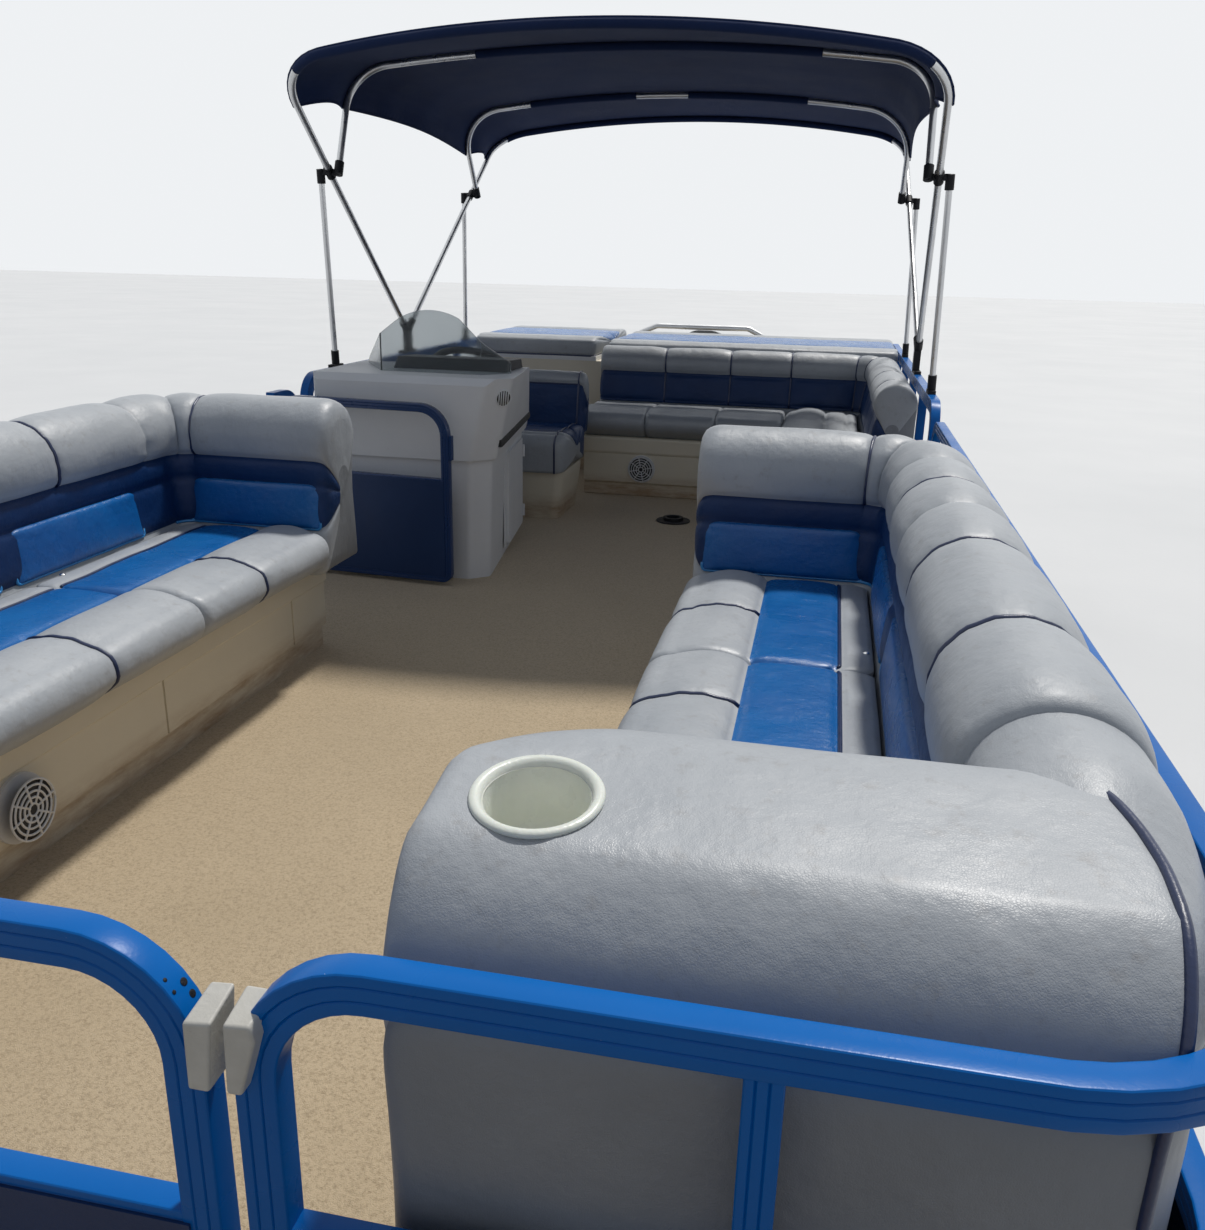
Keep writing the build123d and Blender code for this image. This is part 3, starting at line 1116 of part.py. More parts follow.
with BuildPart() as top_hinges:
    z0 = DECK_TOP + HIGH_TOP
    for side in (-1, 1):
        # Main hinge with a cup for each main bow.
        y = FENCE_Y + HINGE_Y
        block(side * RAIL_X - 14, side * RAIL_X + 14, y - 80, y + 80, z0, z0 + 12)
        block(side * HINGE_X - 14, side * HINGE_X + 14, y - 24, y + 24, z0 + 10, DECK_TOP + HINGE_Z + 4)
        legs = [leg_ends(row, side) for row in (BOW_ROWS[0], BOW_ROWS[3])]
        for foot, shoulder in legs:
            rod(along(foot, shoulder, -22), along(foot, shoulder, CUP_LEN), TOP_TUBE_R + CUP_WALL)
        for foot, shoulder in legs:
            bore_end = along(foot, shoulder, CUP_LEN + 5)
            rod(along(foot, shoulder, 0), bore_end, TOP_TUBE_R + TUBE_FIT, Mode.SUBTRACT)
        for foot_y, main_row, second_row, knee_y, knee_z in BRACE_ROWS:
            # Foot of the brace on the rail.
            foot, knee = brace_ends(foot_y, knee_y, knee_z, side)
            block(side * RAIL_X - 14, side * RAIL_X + 14, foot.Y - 42, foot.Y + 42, z0, z0 + 12)
            rod(along(foot, knee, -20), along(foot, knee, CUP_LEN), BRACE_R + CUP_WALL)
            rod(along(foot, knee, 0), along(foot, knee, CUP_LEN + 5), BRACE_R + TUBE_FIT, Mode.SUBTRACT)
            # Jaw at the knee: a ring on the main bow with a cup for the second bow and one for the brace.
            main_foot, main_top = leg_ends(main_row, side)
            share = (knee.Z - main_foot.Z) / (main_top.Z - main_foot.Z)
            center = main_foot + (main_top - main_foot) * share
            second_foot, second_top = leg_ends(second_row, side)
            rod(along(center, main_top, -24), along(center, main_top, 24), TOP_TUBE_R + CUP_WALL)
            cup_end = along(second_foot, second_top, CUP_LEN)
            rod(along(second_foot, second_top, -10), cup_end, TOP_TUBE_R + CUP_WALL)
            rod(along(knee, foot, -10), along(knee, foot, CUP_LEN), BRACE_R + CUP_WALL)
            block(second_foot.X, knee.X, knee.Y - 9, knee.Y + 9, knee.Z - 11, knee.Z + 11)
            ring_end = along(center, main_top, 30)
            rod(along(center, main_top, -30), ring_end, TOP_TUBE_R + TUBE_FIT, Mode.SUBTRACT)
            rod(
                along(second_foot, second_top, 0), along(second_foot, second_top, CUP_LEN + 5),
                TOP_TUBE_R + TUBE_FIT, Mode.SUBTRACT,
            )
            rod(along(knee, foot, 0), along(knee, foot, CUP_LEN + 5), BRACE_R + TUBE_FIT, Mode.SUBTRACT)
top_hinges.part.label = "top_hinges"
export_step(top_hinges.part, "parts/top_hinges.step")

CROWNS = []
for row in BOW_ROWS:
    plane, rise, v0, v1, half = bow_data(row)
    CROWNS.append((plane.from_local_coords((0, v1, 0)), plane.y_dir))


def cloth_reach(index):
    # How far up the bow's slope the cloth lies, so that it rests on the tube at the crown.
    center, up = CROWNS[index]
    sines = []
    for other in (index - 1, index + 1):
        if 0 <= other < len(CROWNS):
            d = (CROWNS[other][0] - center).normalized()
            sines.append(abs(up.Y * d.Z - up.Z * d.Y))
    return (TOP_TUBE_R + CANOPY_GAP) / min(sines)


def canopy_section(index, thick):
    plane, rise, v0, v1, half = bow_data(BOW_ROWS[index])
    reach = cloth_reach(index)
    rings = []
    for extra in (0.0, thick):
        out = reach + extra
        rings.append(arch_points(half + out + 0.6, BOW_ROWS[index][8] + out, v0 + 0.6, v1 + out))
    with BuildSketch(plane) as sk:
        with BuildLine():
            for p0, pm, p1, top in rings:
                ThreePointArc(p0, pm, p1)
                ThreePointArc(p1, top, mirrored(p1))
                ThreePointArc(mirrored(p1), mirrored(pm), mirrored(p0))
            Line(rings[0][0], rings[1][0])
            Line(mirrored(rings[0][0]), mirrored(rings[1][0]))
        make_face()
    return sk.sketch


with BuildPart() as canopy:
    loft([canopy_section(index, CANOPY_T) for index in range(len(BOW_ROWS))], ruled=True)
canopy.part.label = "canopy"
export_step(canopy.part, "parts/canopy.step")

# Outboard, stowed tilted up: local y runs aft, local z up the motor
tilt = math.radians(TILT_DEG)
STOWED = Plane(origin=(0, TILT_Y, TILT_Z), x_dir=(1, 0, 0), z_dir=(0, -math.sin(tilt), math.cos(tilt)))
STOWED_SIDE = Plane(origin=(0, TILT_Y, TILT_Z), x_dir=(0, math.cos(tilt), math.sin(tilt)), z_dir=(1, 0, 0))
with BuildPart() as transom_bracket:
    for side in (-1, 1):
        with BuildSketch(side_plane_at(side * CLAMP_X)) as cheek:
            with BuildLine():
                Polyline(
                    (DECK_REAR - 30, TRANSOM_TOP),
                    (TRANSOM_Y1, TRANSOM_TOP),
                    (TRANSOM_Y1, TRANSOM_TOP - 300),
                    (TRANSOM_Y1 + 60, TRANSOM_TOP - 300),
                    (TRANSOM_Y1 + 70, TRANSOM_TOP - 60),
                    (TILT_Y + 40, TILT_Z + 34),
                    (TILT_Y - 40, TILT_Z + 34),
                    (DECK_REAR - 30, TRANSOM_TOP + 40),
                    (DECK_REAR - 30, TRANSOM_TOP),
                )
            make_face()
        extrude(cheek.sketch, amount=12, both=True)
    with Locations(Location((0, TILT_Y, TILT_Z), (0, 90, 0))):
        Cylinder(TILT_PIN_R, 2 * CLAMP_X + 60)
transom_bracket.part.label = "transom_bracket"
export_step(transom_bracket.part, "parts/transom_bracket.step")

with BuildPart(STOWED) as swivel_bracket:
    with Locations(Location((0, 0, 0), (0, 90, 0))):
        Cylinder(26, 160)
    with BuildSketch(STOWED_SIDE) as arm:
        with BuildLine():
            Polyline(
                (-20, -20), (-20, 26), (STEER_OUT - 24, 60), (STEER_OUT + 30, 60), (STEER_OUT + 30, -230),
                (STEER_OUT - 34, -230), (STEER_OUT - 34, -60), (-20, -20),
            )
        make_face()
    extrude(arm.sketch, amount=SWIVEL_HALF, both=True)
    with Locations(Location((0, 0, 0), (0, 90, 0))):
        Cylinder(TILT_PIN_R + PIN_FIT, 300, mode=Mode.SUBTRACT)
    with Locations((0, STEER_OUT, -80)):
        Cylinder(STEER_PIN_R + PIN_FIT, 400, mode=Mode.SUBTRACT)
swivel_bracket.part.label = "swivel_bracket"
export_step(swivel_bracket.part, "parts/swivel_bracket.step")

gear_axis = Plane(
    origin=STOWED.from_local_coords((0, LEG_OUT - 130, PROP_Z)), x_dir=(1, 0, 0), z_dir=STOWED.y_dir,
)
# Columns: distance from the nose, radius.
GEARCASE_ROWS = ((0.0, 8.0), (60.0, 40.0), (140.0, 56.0), (290.0, 54.0), (345.0, 42.0))
with BuildPart() as outboard_leg:
    for distance, radius in GEARCASE_ROWS:
        with BuildSketch(gear_axis.offset(distance)):
            Circle(radius)
    loft()
    with BuildSketch(gear_axis.offset(340)) as shaft:
        Circle(PROP_SHAFT_R)
    extrude(shaft.sketch, amount=115)
    with BuildSketch(STOWED_SIDE) as blade:
        with BuildLine():
            Polyline(
                (LEG_OUT - 5, 100), (LEG_OUT + 150, 100), (LEG_OUT + 120, -250), (LEG_OUT + 130, -530),
                (LEG_OUT + 190, -545), (LEG_OUT + 190, -560), (LEG_OUT + 120, -570), (LEG_OUT + 150, -700),
                (LEG_OUT - 60, -700), (LEG_OUT - 20, -560), (LEG_OUT - 55, -545), (LEG_OUT - 10, -250),
                (LEG_OUT - 5, 100),
            )
        make_face()
    extrude(blade.sketch, amount=38, both=True)
    with BuildSketch(STOWED_SIDE) as skeg:
        with BuildLine():
            Polyline(
                (LEG_OUT - 30, -720), (LEG_OUT + 140, -750), (LEG_OUT + 90, -935), (LEG_OUT + 40, -950),
                (LEG_OUT - 30, -720),
            )
        make_face()
    extrude(skeg.sketch, amount=7, both=True)
    # Steering pin with a yoke at each end, and the plate above the propeller.
    with Locations(STOWED):
        with Locations((0, STEER_OUT, -85)):
            Cylinder(STEER_PIN_R, 320)
        with Locations((0, STEER_OUT + 50, 86)):
            Box(150, 210, 36)
        with Locations((0, STEER_OUT + 70, -256)):
            Box(110, 190, 36)
        with Locations((0, LEG_OUT + 125, -550)):
            Box(190, 330, 12)
outboard_leg.part.label = "outboard_leg"
export_step(outboard_leg.part, "parts/outboard_leg.step")

# Columns: height, width, length, shift aft.
COWL_ROWS = (
    (104.0, 280.0, 330.0, 0.0),
    (190.0, 330.0, 430.0, 10.0),
    (380.0, 330.0, 440.0, 15.0),
    (480.0, 250.0, 330.0, 25.0),
)
with BuildPart() as outboard_cowl:
    for height, wide, length, shift in COWL_ROWS:
        spot = STOWED.from_local_coords((0, STEER_OUT + 90 + shift, height))
        with BuildSketch(Plane(origin=spot, x_dir=(1, 0, 0), z_dir=STOWED.z_dir)):
            RectangleRounded(wide, length, 90)
    loft()
outboard_cowl.part.label = "outboard_cowl"
export_step(outboard_cowl.part, "parts/outboard_cowl.step")

# Propeller: three lofted blades whose pitch falls off towards the tip.
# Columns: radius, chord, thickness, angle.
BLADE_ROWS = (
    (30.0, 84.0, 12.0, 52.0), (80.0, 122.0, 8.0, 34.0),
    (128.0, 108.0, 5.0, 25.0), (PROP_R, 34.0, 3.0, 20.0),
)
prop_plane = Plane(origin=gear_axis.offset(350).origin, x_dir=(1, 0, 0), z_dir=STOWED.y_dir)
with BuildPart(prop_plane) as propeller:
    with Locations((0, 0, 48)):
        Cylinder(40, 90)
    for angle in (0, 120, 240):
        turn = math.radians(angle)
        radial = prop_plane.x_dir * math.cos(turn) + prop_plane.y_dir * math.sin(turn)
        sections = []
        for radius, chord, thick, pitch in BLADE_ROWS:
            spot = prop_plane.origin + prop_plane.z_dir * 46 + radial * radius
            with BuildSketch(Plane(origin=spot, x_dir=prop_plane.z_dir, z_dir=radial)) as section:
                Ellipse(chord / 2, thick / 2, rotation=90 - pitch)
            sections.append(section.sketch)
        loft(sections)
    with Locations((0, 0, 48)):
        Cylinder(PROP_SHAFT_R + PIN_FIT, 100, mode=Mode.SUBTRACT)
propeller.part.label = "propeller"
export_step(propeller.part, "parts/propeller.step")
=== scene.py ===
import math

import bmesh
import bpy
import numpy as np
from mathutils import Matrix, Vector
from mathutils.bvhtree import BVHTree


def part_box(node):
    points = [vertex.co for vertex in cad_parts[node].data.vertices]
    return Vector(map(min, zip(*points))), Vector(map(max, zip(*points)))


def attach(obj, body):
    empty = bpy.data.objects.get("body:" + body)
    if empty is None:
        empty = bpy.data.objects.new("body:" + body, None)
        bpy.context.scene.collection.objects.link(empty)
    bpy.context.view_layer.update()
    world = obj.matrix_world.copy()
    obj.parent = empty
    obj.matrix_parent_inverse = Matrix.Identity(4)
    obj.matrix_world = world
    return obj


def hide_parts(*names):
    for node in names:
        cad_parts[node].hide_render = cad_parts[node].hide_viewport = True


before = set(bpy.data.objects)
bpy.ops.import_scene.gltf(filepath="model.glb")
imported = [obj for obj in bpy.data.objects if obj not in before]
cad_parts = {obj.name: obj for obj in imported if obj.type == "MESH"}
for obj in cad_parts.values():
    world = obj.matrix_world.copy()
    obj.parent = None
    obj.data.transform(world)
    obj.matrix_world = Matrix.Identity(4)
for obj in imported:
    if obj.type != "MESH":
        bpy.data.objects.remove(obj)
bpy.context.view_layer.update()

# Lengths are in metres. Stations count from the bow fence's plane, heights from the deck's top.
FENCE_Y = -3.350
DECK_TOP = 0.750
WATERLINE = 0.25
RAIL_X = 1.170
BACK_OUT = 1.146
COUCH_X = 0.495
COUCH_Y0 = 0.035
SEAT_BASE = 0.285
GAP = 0.004
SEAT_GAP = 0.003
UP = (0.0, 0.0, 1.0)

CAMERA_PLACE = (0.7953, FENCE_Y - 0.6153, DECK_TOP + 1.1379)
CAMERA_YAW = 0.1973
CAMERA_PITCH = 0.3204
CAMERA_ROLL = -0.023
CAMERA_LENS = 31.56
SENSOR_WIDTH = 36.0


def spot(x, station, height):
    return (x, FENCE_Y + station, DECK_TOP + height)


def add(name, data):
    obj = bpy.data.objects.new(name, data)
    bpy.context.scene.collection.objects.link(obj)
    return obj


def unit(v):
    return np.array(v, dtype=float) / np.linalg.norm(v)


def make_camera():
    data = bpy.data.cameras.new("view")
    data.lens, data.sensor_width = CAMERA_LENS, SENSOR_WIDTH
    data.clip_start, data.clip_end = 0.05, 200.0
    yaw, pitch, roll = CAMERA_YAW, CAMERA_PITCH, CAMERA_ROLL
    forward = Vector((-math.sin(yaw) * math.cos(pitch), math.cos(yaw) * math.cos(pitch), -math.sin(pitch)))
    level = Vector((math.cos(yaw), math.sin(yaw), 0.0))
    down = forward.cross(level)
    right = level * math.cos(roll) + down * math.sin(roll)
    lower = down * math.cos(roll) - level * math.sin(roll)
    turn = Matrix((right, -lower, -forward)).transposed().to_4x4()
    camera = add("view", data)
    camera.matrix_world = Matrix.Translation(CAMERA_PLACE) @ turn
    bpy.context.scene.camera = camera


# Materials
def plug(tree, socket, value):
    if isinstance(value, bpy.types.NodeSocket):
        tree.links.new(value, socket)
    else:
        socket.default_value = (*value, 1.0) if socket.type == "RGBA" else value


def node(tree, kind, sockets, **settings):
    """A shader node; sockets gives each input a value or a link."""
    made = tree.nodes.new("ShaderNode" + kind)
    for key, value in settings.items():
        setattr(made, key, value)
    for key, value in sockets.items():
        plug(tree, made.inputs[key], value)
    return made


def noise(tree, coords, scale, detail, roughness=0.5):
    sockets = {"Vector": coords, "Scale": scale, "Detail": detail, "Roughness": roughness}
    return node(tree, "TexNoise", sockets).outputs["Fac"]


def stretch(tree, coords, size):
    return node(tree, "Mapping", {"Vector": coords, "Scale": size}).outputs["Vector"]


def remap(tree, value, low, high, out_low=0.0, out_high=1.0):
    sockets = {"Value": value, "From Min": low, "From Max": high, "To Min": out_low, "To Max": out_high}
    return node(tree, "MapRange", sockets).outputs["Result"]


def blend(tree, factor, a, b):
    return node(tree, "Mix", {0: factor, 6: a, 7: b}, data_type="RGBA").outputs[2]


def surface(name, colours, patch, rough, bumps, metallic=0.0, specks=None, **inputs):
    """A procedural surface: two mottled colours, specks, uneven gloss and relief.

    Columns of bumps: kind, scale, depth and, where it is stretched, how much each way."""
    material = bpy.data.materials.new(name)
    material.use_nodes = True
    tree = material.node_tree
    coords = node(tree, "TexCoord", {}).outputs["Object"]
    colour = blend(tree, remap(tree, noise(tree, coords, patch, 5.0, 0.6), 0.35, 0.68), *colours)
    if specks:
        scale, low, high, tint = specks
        colour = blend(tree, remap(tree, noise(tree, coords, scale, 6.0, 0.7), low, high), colour, tint)
    gloss = remap(tree, noise(tree, coords, patch * 3.1, 4.0), 0.3, 0.7, *rough)
    sockets = {"Base Color": colour, "Roughness": gloss, "Metallic": metallic}
    for kind, scale, depth, *way in bumps:
        place = stretch(tree, coords, way[0]) if way else coords
        if kind == "Voronoi":
            cells = node(tree, "TexVoronoi", {"Vector": place, "Scale": scale}, feature="DISTANCE_TO_EDGE")
            height = remap(tree, cells.outputs["Distance"], 0.0, 0.25)
        elif kind == "Wave":
            height = node(tree, "TexWave", {"Vector": place, "Scale": scale, "Distortion": 0.4}).outputs["Fac"]
        else:
            height = noise(tree, place, scale, 5.0, 0.55)
        relief = {"Distance": depth, "Strength": 1.0, "Height": height}
        if "Normal" in sockets:
            relief["Normal"] = sockets["Normal"]
        sockets["Normal"] = node(tree, "Bump", relief).outputs["Normal"]
    sockets.update((key.replace("_", " "), value) for key, value in inputs.items())
    for key, value in sockets.items():
        plug(tree, tree.nodes["Principled BSDF"].inputs[key], value)
    return material


def scuffed(material):
    """Scuffs that gather along the foot of a moulding."""
    tree = material.node_tree
    base = tree.nodes["Principled BSDF"].inputs["Base Color"]
    coords = node(tree, "TexCoord", {}).outputs["Object"]
    height = node(tree, "SeparateXYZ", {0: coords}).outputs["Z"]
    low = remap(tree, height, DECK_TOP + 0.050, DECK_TOP + 0.115, 1.0, 0.0)
    smear = noise(tree, stretch(tree, coords, (1.0, 1.0, 5.0)), 5.0, 6.0, 0.7)
    sockets = {0: low, 1: remap(tree, smear, 0.38, 0.66, 0.15, 0.85)}
    amount = node(tree, "Math", sockets, operation="MULTIPLY").outputs[0]
    plug(tree, base, blend(tree, amount, base.links[0].from_socket, (0.34, 0.215, 0.115)))
    return material


CORD = (("Noise", 180.0, 0.0006),)
LEATHER = (("Voronoi", 420.0, 0.0001), ("Noise", 95.0, 0.0003, (1.0, 0.35, 1.0)), ("Noise", 26.0, 0.0018),
           ("Noise", 7.0, 0.008, (1.0, 1.0, 0.5)))
TIGHT = (("Voronoi", 420.0, 0.00015), ("Noise", 40.0, 0.0018), ("Noise", 13.0, 0.0045, (0.5, 1.0, 1.0)))
GREY = surface("grey_vinyl", ((0.325, 0.352, 0.385), (0.385, 0.410, 0.440)), 3.0, (0.38, 0.54), LEATHER,
               specks=(38.0, 0.56, 0.78, (0.285, 0.290, 0.300)), Coat_Weight=0.06, Coat_Roughness=0.3)
# A darker copy of the grey vinyl: painted shade on the arm skirts under the rail; hidden faces take it too.
GREY_PAINTED_SHADE = surface("grey_vinyl_painted_shade", ((0.190, 0.205, 0.225), (0.225, 0.240, 0.262)), 3.0, (0.42, 0.56),
                    LEATHER)
BLUE = surface("blue_vinyl", ((0.005, 0.100, 0.340), (0.008, 0.135, 0.410)), 4.0, (0.20, 0.34), TIGHT,
               Specular_IOR_Level=0.3, Coat_Weight=0.12, Coat_Roughness=0.18)
# Navy vinyl; on the couch backs its band right under the roll is painted shade of the roll.
NAVY = surface("navy_vinyl_and_roll_shade", ((0.003, 0.022, 0.088), (0.005, 0.031, 0.115)), 4.0, (0.34, 0.46), TIGHT,
               Specular_IOR_Level=0.22)
NAVY_PIPE = surface("navy_piping", ((0.006, 0.016, 0.060), (0.010, 0.024, 0.085)), 9.0, (0.30, 0.42), CORD)
SKY_PIPE = surface("light_blue_piping", ((0.020, 0.210, 0.520), (0.030, 0.260, 0.600)), 9.0, (0.25, 0.40),
                   CORD)
RAIL = surface("blue_anodised_rail", ((0.001, 0.105, 0.390), (0.0015, 0.132, 0.470)), 2.0, (0.22, 0.32),
               (("Noise", 300.0, 0.0001), ("Noise", 9.0, 0.0006)),
               specks=(95.0, 0.725, 0.75, (0.55, 0.60, 0.66)), Specular_IOR_Level=0.14)
# The blue rail in a dark navy copy: painted shade for the side gate's frame; the pale specks are chips.
RAIL_PAINTED_SHADE = surface("blue_rail_painted_shade", ((0.006, 0.030, 0.110), (0.010, 0.042, 0.150)), 2.0, (0.22, 0.34),
                    (("Noise", 300.0, 0.0001),), specks=(60.0, 0.74, 0.77, (0.50, 0.54, 0.60)),
                    Specular_IOR_Level=0.4)
PANEL = surface("navy_fence_panel", ((0.010, 0.030, 0.095), (0.015, 0.042, 0.130)), 2.0, (0.30, 0.42),
                (("Noise", 240.0, 0.0003), ("Noise", 3.0, 0.004)), Specular_IOR_Level=0.25)
ALU = surface("brushed_tube", ((0.56, 0.57, 0.585), (0.68, 0.69, 0.70)), 5.0, (0.24, 0.40),
              (("Noise", 120.0, 0.0003, (12.0, 1.0, 1.0)),), 0.9)
HULL = surface("hull_aluminium", ((0.40, 0.415, 0.43), (0.52, 0.53, 0.545)), 1.3, (0.32, 0.50),
               (("Noise", 90.0, 0.0004), ("Noise", 3.0, 0.006)), 0.85, (14.0, 0.62, 0.75, (0.30, 0.31, 0.30)))
CARPET = surface("tan_floor_covering", ((0.465, 0.368, 0.238), (0.545, 0.434, 0.288)), 1.1, (0.86, 0.95),
                 (("Noise", 520.0, 0.0022), ("Noise", 60.0, 0.0015)),
                 specks=(190.0, 0.46, 0.66, (0.335, 0.255, 0.158)), Sheen_Weight=0.25)
WHITE = surface("white_moulding", ((0.72, 0.73, 0.745), (0.79, 0.80, 0.81)), 2.2, (0.44, 0.54),
                (("Noise", 260.0, 0.00015), ("Noise", 4.0, 0.0003)),
                specks=(24.0, 0.66, 0.80, (0.62, 0.62, 0.60)), Specular_IOR_Level=0.3)
IVORY = scuffed(surface("ivory_moulding", ((0.690, 0.635, 0.510), (0.750, 0.698, 0.575)), 1.8, (0.36, 0.52),
                        (("Noise", 220.0, 0.0006), ("Noise", 6.0, 0.003))))
BLACK = surface("black_plastic", ((0.007, 0.008, 0.011), (0.014, 0.015, 0.019)), 6.0, (0.42, 0.58),
                (("Voronoi", 300.0, 0.0002),), Specular_IOR_Level=0.2)
RUBBER = surface("black_rubber", ((0.020, 0.020, 0.021), (0.040, 0.040, 0.041)), 8.0, (0.60, 0.75),
                 (("Noise", 200.0, 0.0004),), Specular_IOR_Level=0.25)
CHROME = surface("polished_metal", ((0.66, 0.67, 0.68), (0.74, 0.75, 0.76)), 12.0, (0.10, 0.20),
                 (("Noise", 60.0, 0.0003),), 1.0)
DECK_EDGE = surface("deck_edge", ((0.40, 0.41, 0.42), (0.48, 0.49, 0.50)), 6.0, (0.35, 0.5),
                    (("Noise", 150.0, 0.0004, (0.2, 6.0, 6.0)),), 0.8)
MOTOR = surface("motor_paint", ((0.022, 0.024, 0.028), (0.032, 0.034, 0.040)), 5.0, (0.16, 0.28),
                (("Noise", 200.0, 0.0003),), 0.3, Coat_Weight=0.6, Coat_Roughness=0.1)
LATCH = surface("latch_plastic", ((0.50, 0.49, 0.45), (0.58, 0.57, 0.53)), 30.0, (0.38, 0.52),
                (("Noise", 220.0, 0.0004),), specks=(90.0, 0.62, 0.72, (0.40, 0.38, 0.34)))
CREAM = surface("cream_plastic", ((0.72, 0.73, 0.65), (0.80, 0.80, 0.73)), 14.0, (0.25, 0.40),
                (("Noise", 160.0, 0.0005),), Subsurface_Weight=0.1)
CANVAS = surface("navy_canvas", ((0.006, 0.020, 0.080), (0.009, 0.028, 0.105)), 1.6, (0.82, 0.93),
                 (("Wave", 240.0, 0.0005, (1.0, 0.0, 0.0)), ("Wave", 240.0, 0.0005, (0.0, 1.0, 0.0)),
                  ("Noise", 5.0, 0.012, (1.0, 0.35, 1.0))), Sheen_Weight=0.04, Specular_IOR_Level=0.25)
SCREEN = surface("smoky_screen", ((0.42, 0.46, 0.48), (0.48, 0.52, 0.54)), 3.0, (0.06, 0.14),
                 (("Noise", 5.0, 0.0015),), Transmission_Weight=0.92, IOR=1.2)


# Mesh tools. A form is (vertices, faces).
SHARP_ANGLE = math.radians(28)


def piece(name, form, materials, body="hull", smooth=True, indices=None, turn=False,
          replaces=None):
    """A form as an object that rides on a body; turn points its faces outwards."""
    verts, faces = form
    mesh = bpy.data.meshes.new(name)
    mesh.from_pydata([tuple(float(x) for x in v) for v in verts], [], faces)
    for material in materials if isinstance(materials, list) else [materials]:
        mesh.materials.append(material)
    if indices:
        mesh.polygons.foreach_set("material_index", indices)
    mesh.polygons.foreach_set("use_smooth", [True] * len(mesh.polygons))
    mesh.update()
    if not smooth:
        mesh.set_sharp_from_angle(angle=SHARP_ANGLE)
    obj = add(name, mesh)
    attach(obj, body)
    if turn:
        bm = bmesh.new()
        bm.from_mesh(mesh)
        bmesh.ops.recalc_face_normals(bm, faces=bm.faces[:])
        bm.to_mesh(mesh)
        bm.free()
    if replaces:
        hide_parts(replaces)
    return obj


def between(a, b, n, around=True):
    """Faces between the rows of n points that start at vertices a and b."""
    return [(a + j, a + (j + 1) % n, b + (j + 1) % n, b + j) for j in range(n if around else n - 1)]


def quads(m, n, around=True, closed=False):
    faces = []
    for i in range(m if closed else m - 1):
        faces += between(i * n, (i + 1) % m * n, n, around)
    return faces


def caps(m, n):
    """The end faces of m rows of n points."""
    return [tuple(range(n - 1, -1, -1)), tuple(range((m - 1) * n, m * n))]


def join(parts):
    verts, faces = [], []
    for v, f in parts:
        faces += [tuple(i + len(verts) for i in face) for face in f]
        verts += list(v)
    return verts, faces


def circle(sides):
    return [math.tau * k / sides for k in range(sides)]


def turned(profile, at, axis, aside, sides):
    """Rings of points (radius, height) about an axis; aside sets where each ring starts."""
    z = unit(axis)
    x = unit(np.cross(z, aside))
    y = np.cross(z, x)
    ring = [x * math.cos(a) + y * math.sin(a) for a in circle(sides)]
    return [np.array(at) + way * r + z * h for r, h in profile for way in ring]


def arc(a, m, b, count=12):
    """Points on the circle through a, m and b, both ends included."""
    (ax, ay), (mx, my), (bx, by) = a, m, b
    d = 2 * (ax * (my - by) + mx * (by - ay) + bx * (ay - my))
    aa, mm, bb = ax * ax + ay * ay, mx * mx + my * my, bx * bx + by * by
    cx = (aa * (my - by) + mm * (by - ay) + bb * (ay - my)) / d
    cy = (aa * (bx - mx) + mm * (ax - bx) + bb * (mx - ax)) / d
    start = math.atan2(ay - cy, ax - cx)
    middle = (math.atan2(my - cy, mx - cx) - start) % math.tau
    span = (math.atan2(by - cy, bx - cx) - start) % math.tau
    if middle > span:
        span -= math.tau
    r = math.hypot(ax - cx, ay - cy)
    steps = [start + span * i / (count - 1) for i in range(count)]
    return [(cx + r * math.cos(t), cy + r * math.sin(t)) for t in steps]


def lengths(points):
    return np.hypot(*np.diff(np.array(points, dtype=float), axis=0).T)


def spaced(points, count):
    """Points evenly along a line of points, without its last one."""
    p = np.array(points, dtype=float)
    at = np.concatenate(([0.0], np.cumsum(lengths(p))))
    want = np.linspace(0.0, at[-1], count + 1)[:-1]
    return np.column_stack([np.interp(want, at, p[:, k]) for k in range(2)])


def wander(p, scale, seed):
    """Smooth seeded noise about 0."""
    rng = np.random.RandomState(seed)
    total = np.zeros(p.shape[:-1])
    for _ in range(7):
        wave = rng.normal(size=3) * scale
        total += np.sin(p @ wave + rng.uniform(0, math.tau))
    return total / 4.0


def smooth_step(x):
    x = min(1.0, max(0.0, x))
    return x * x * (3 - 2 * x)


def blur(values, reach):
    """Running mean around a closed row."""
    width = 2 * reach + 1
    row = np.concatenate((values[-reach:], values, values[:reach]))
    return np.convolve(row, np.ones(width) / width, mode="valid")


def tube(lines, radius, sides=8):
    """Round tubes with closed ends along lines of points."""
    parts = []
    for line in lines:
        p = [np.array(line[0], dtype=float)]
        for q in line[1:]:
            if np.linalg.norm(q - p[-1]) > radius * 0.5:
                p.append(np.array(q, dtype=float))
        tangents = np.gradient(np.array(p), axis=0)
        tangents /= np.linalg.norm(tangents, axis=1, keepdims=True)
        x = unit(np.cross(tangents[0], (0.13, 0.21, 0.97)))
        verts = []
        for q, tangent in zip(p, tangents):
            x = unit(x - tangent * (x @ tangent))
            y = np.cross(tangent, x)
            verts += [q + radius * (math.cos(a) * x + math.sin(a) * y) for a in circle(sides)]
        parts.append((verts, quads(len(p), sides) + caps(len(p), sides)))
    return join(parts)


def piping(name, lines, material, radius=0.0042, body="hull"):
    piece(name, tube(lines, radius), material, body)


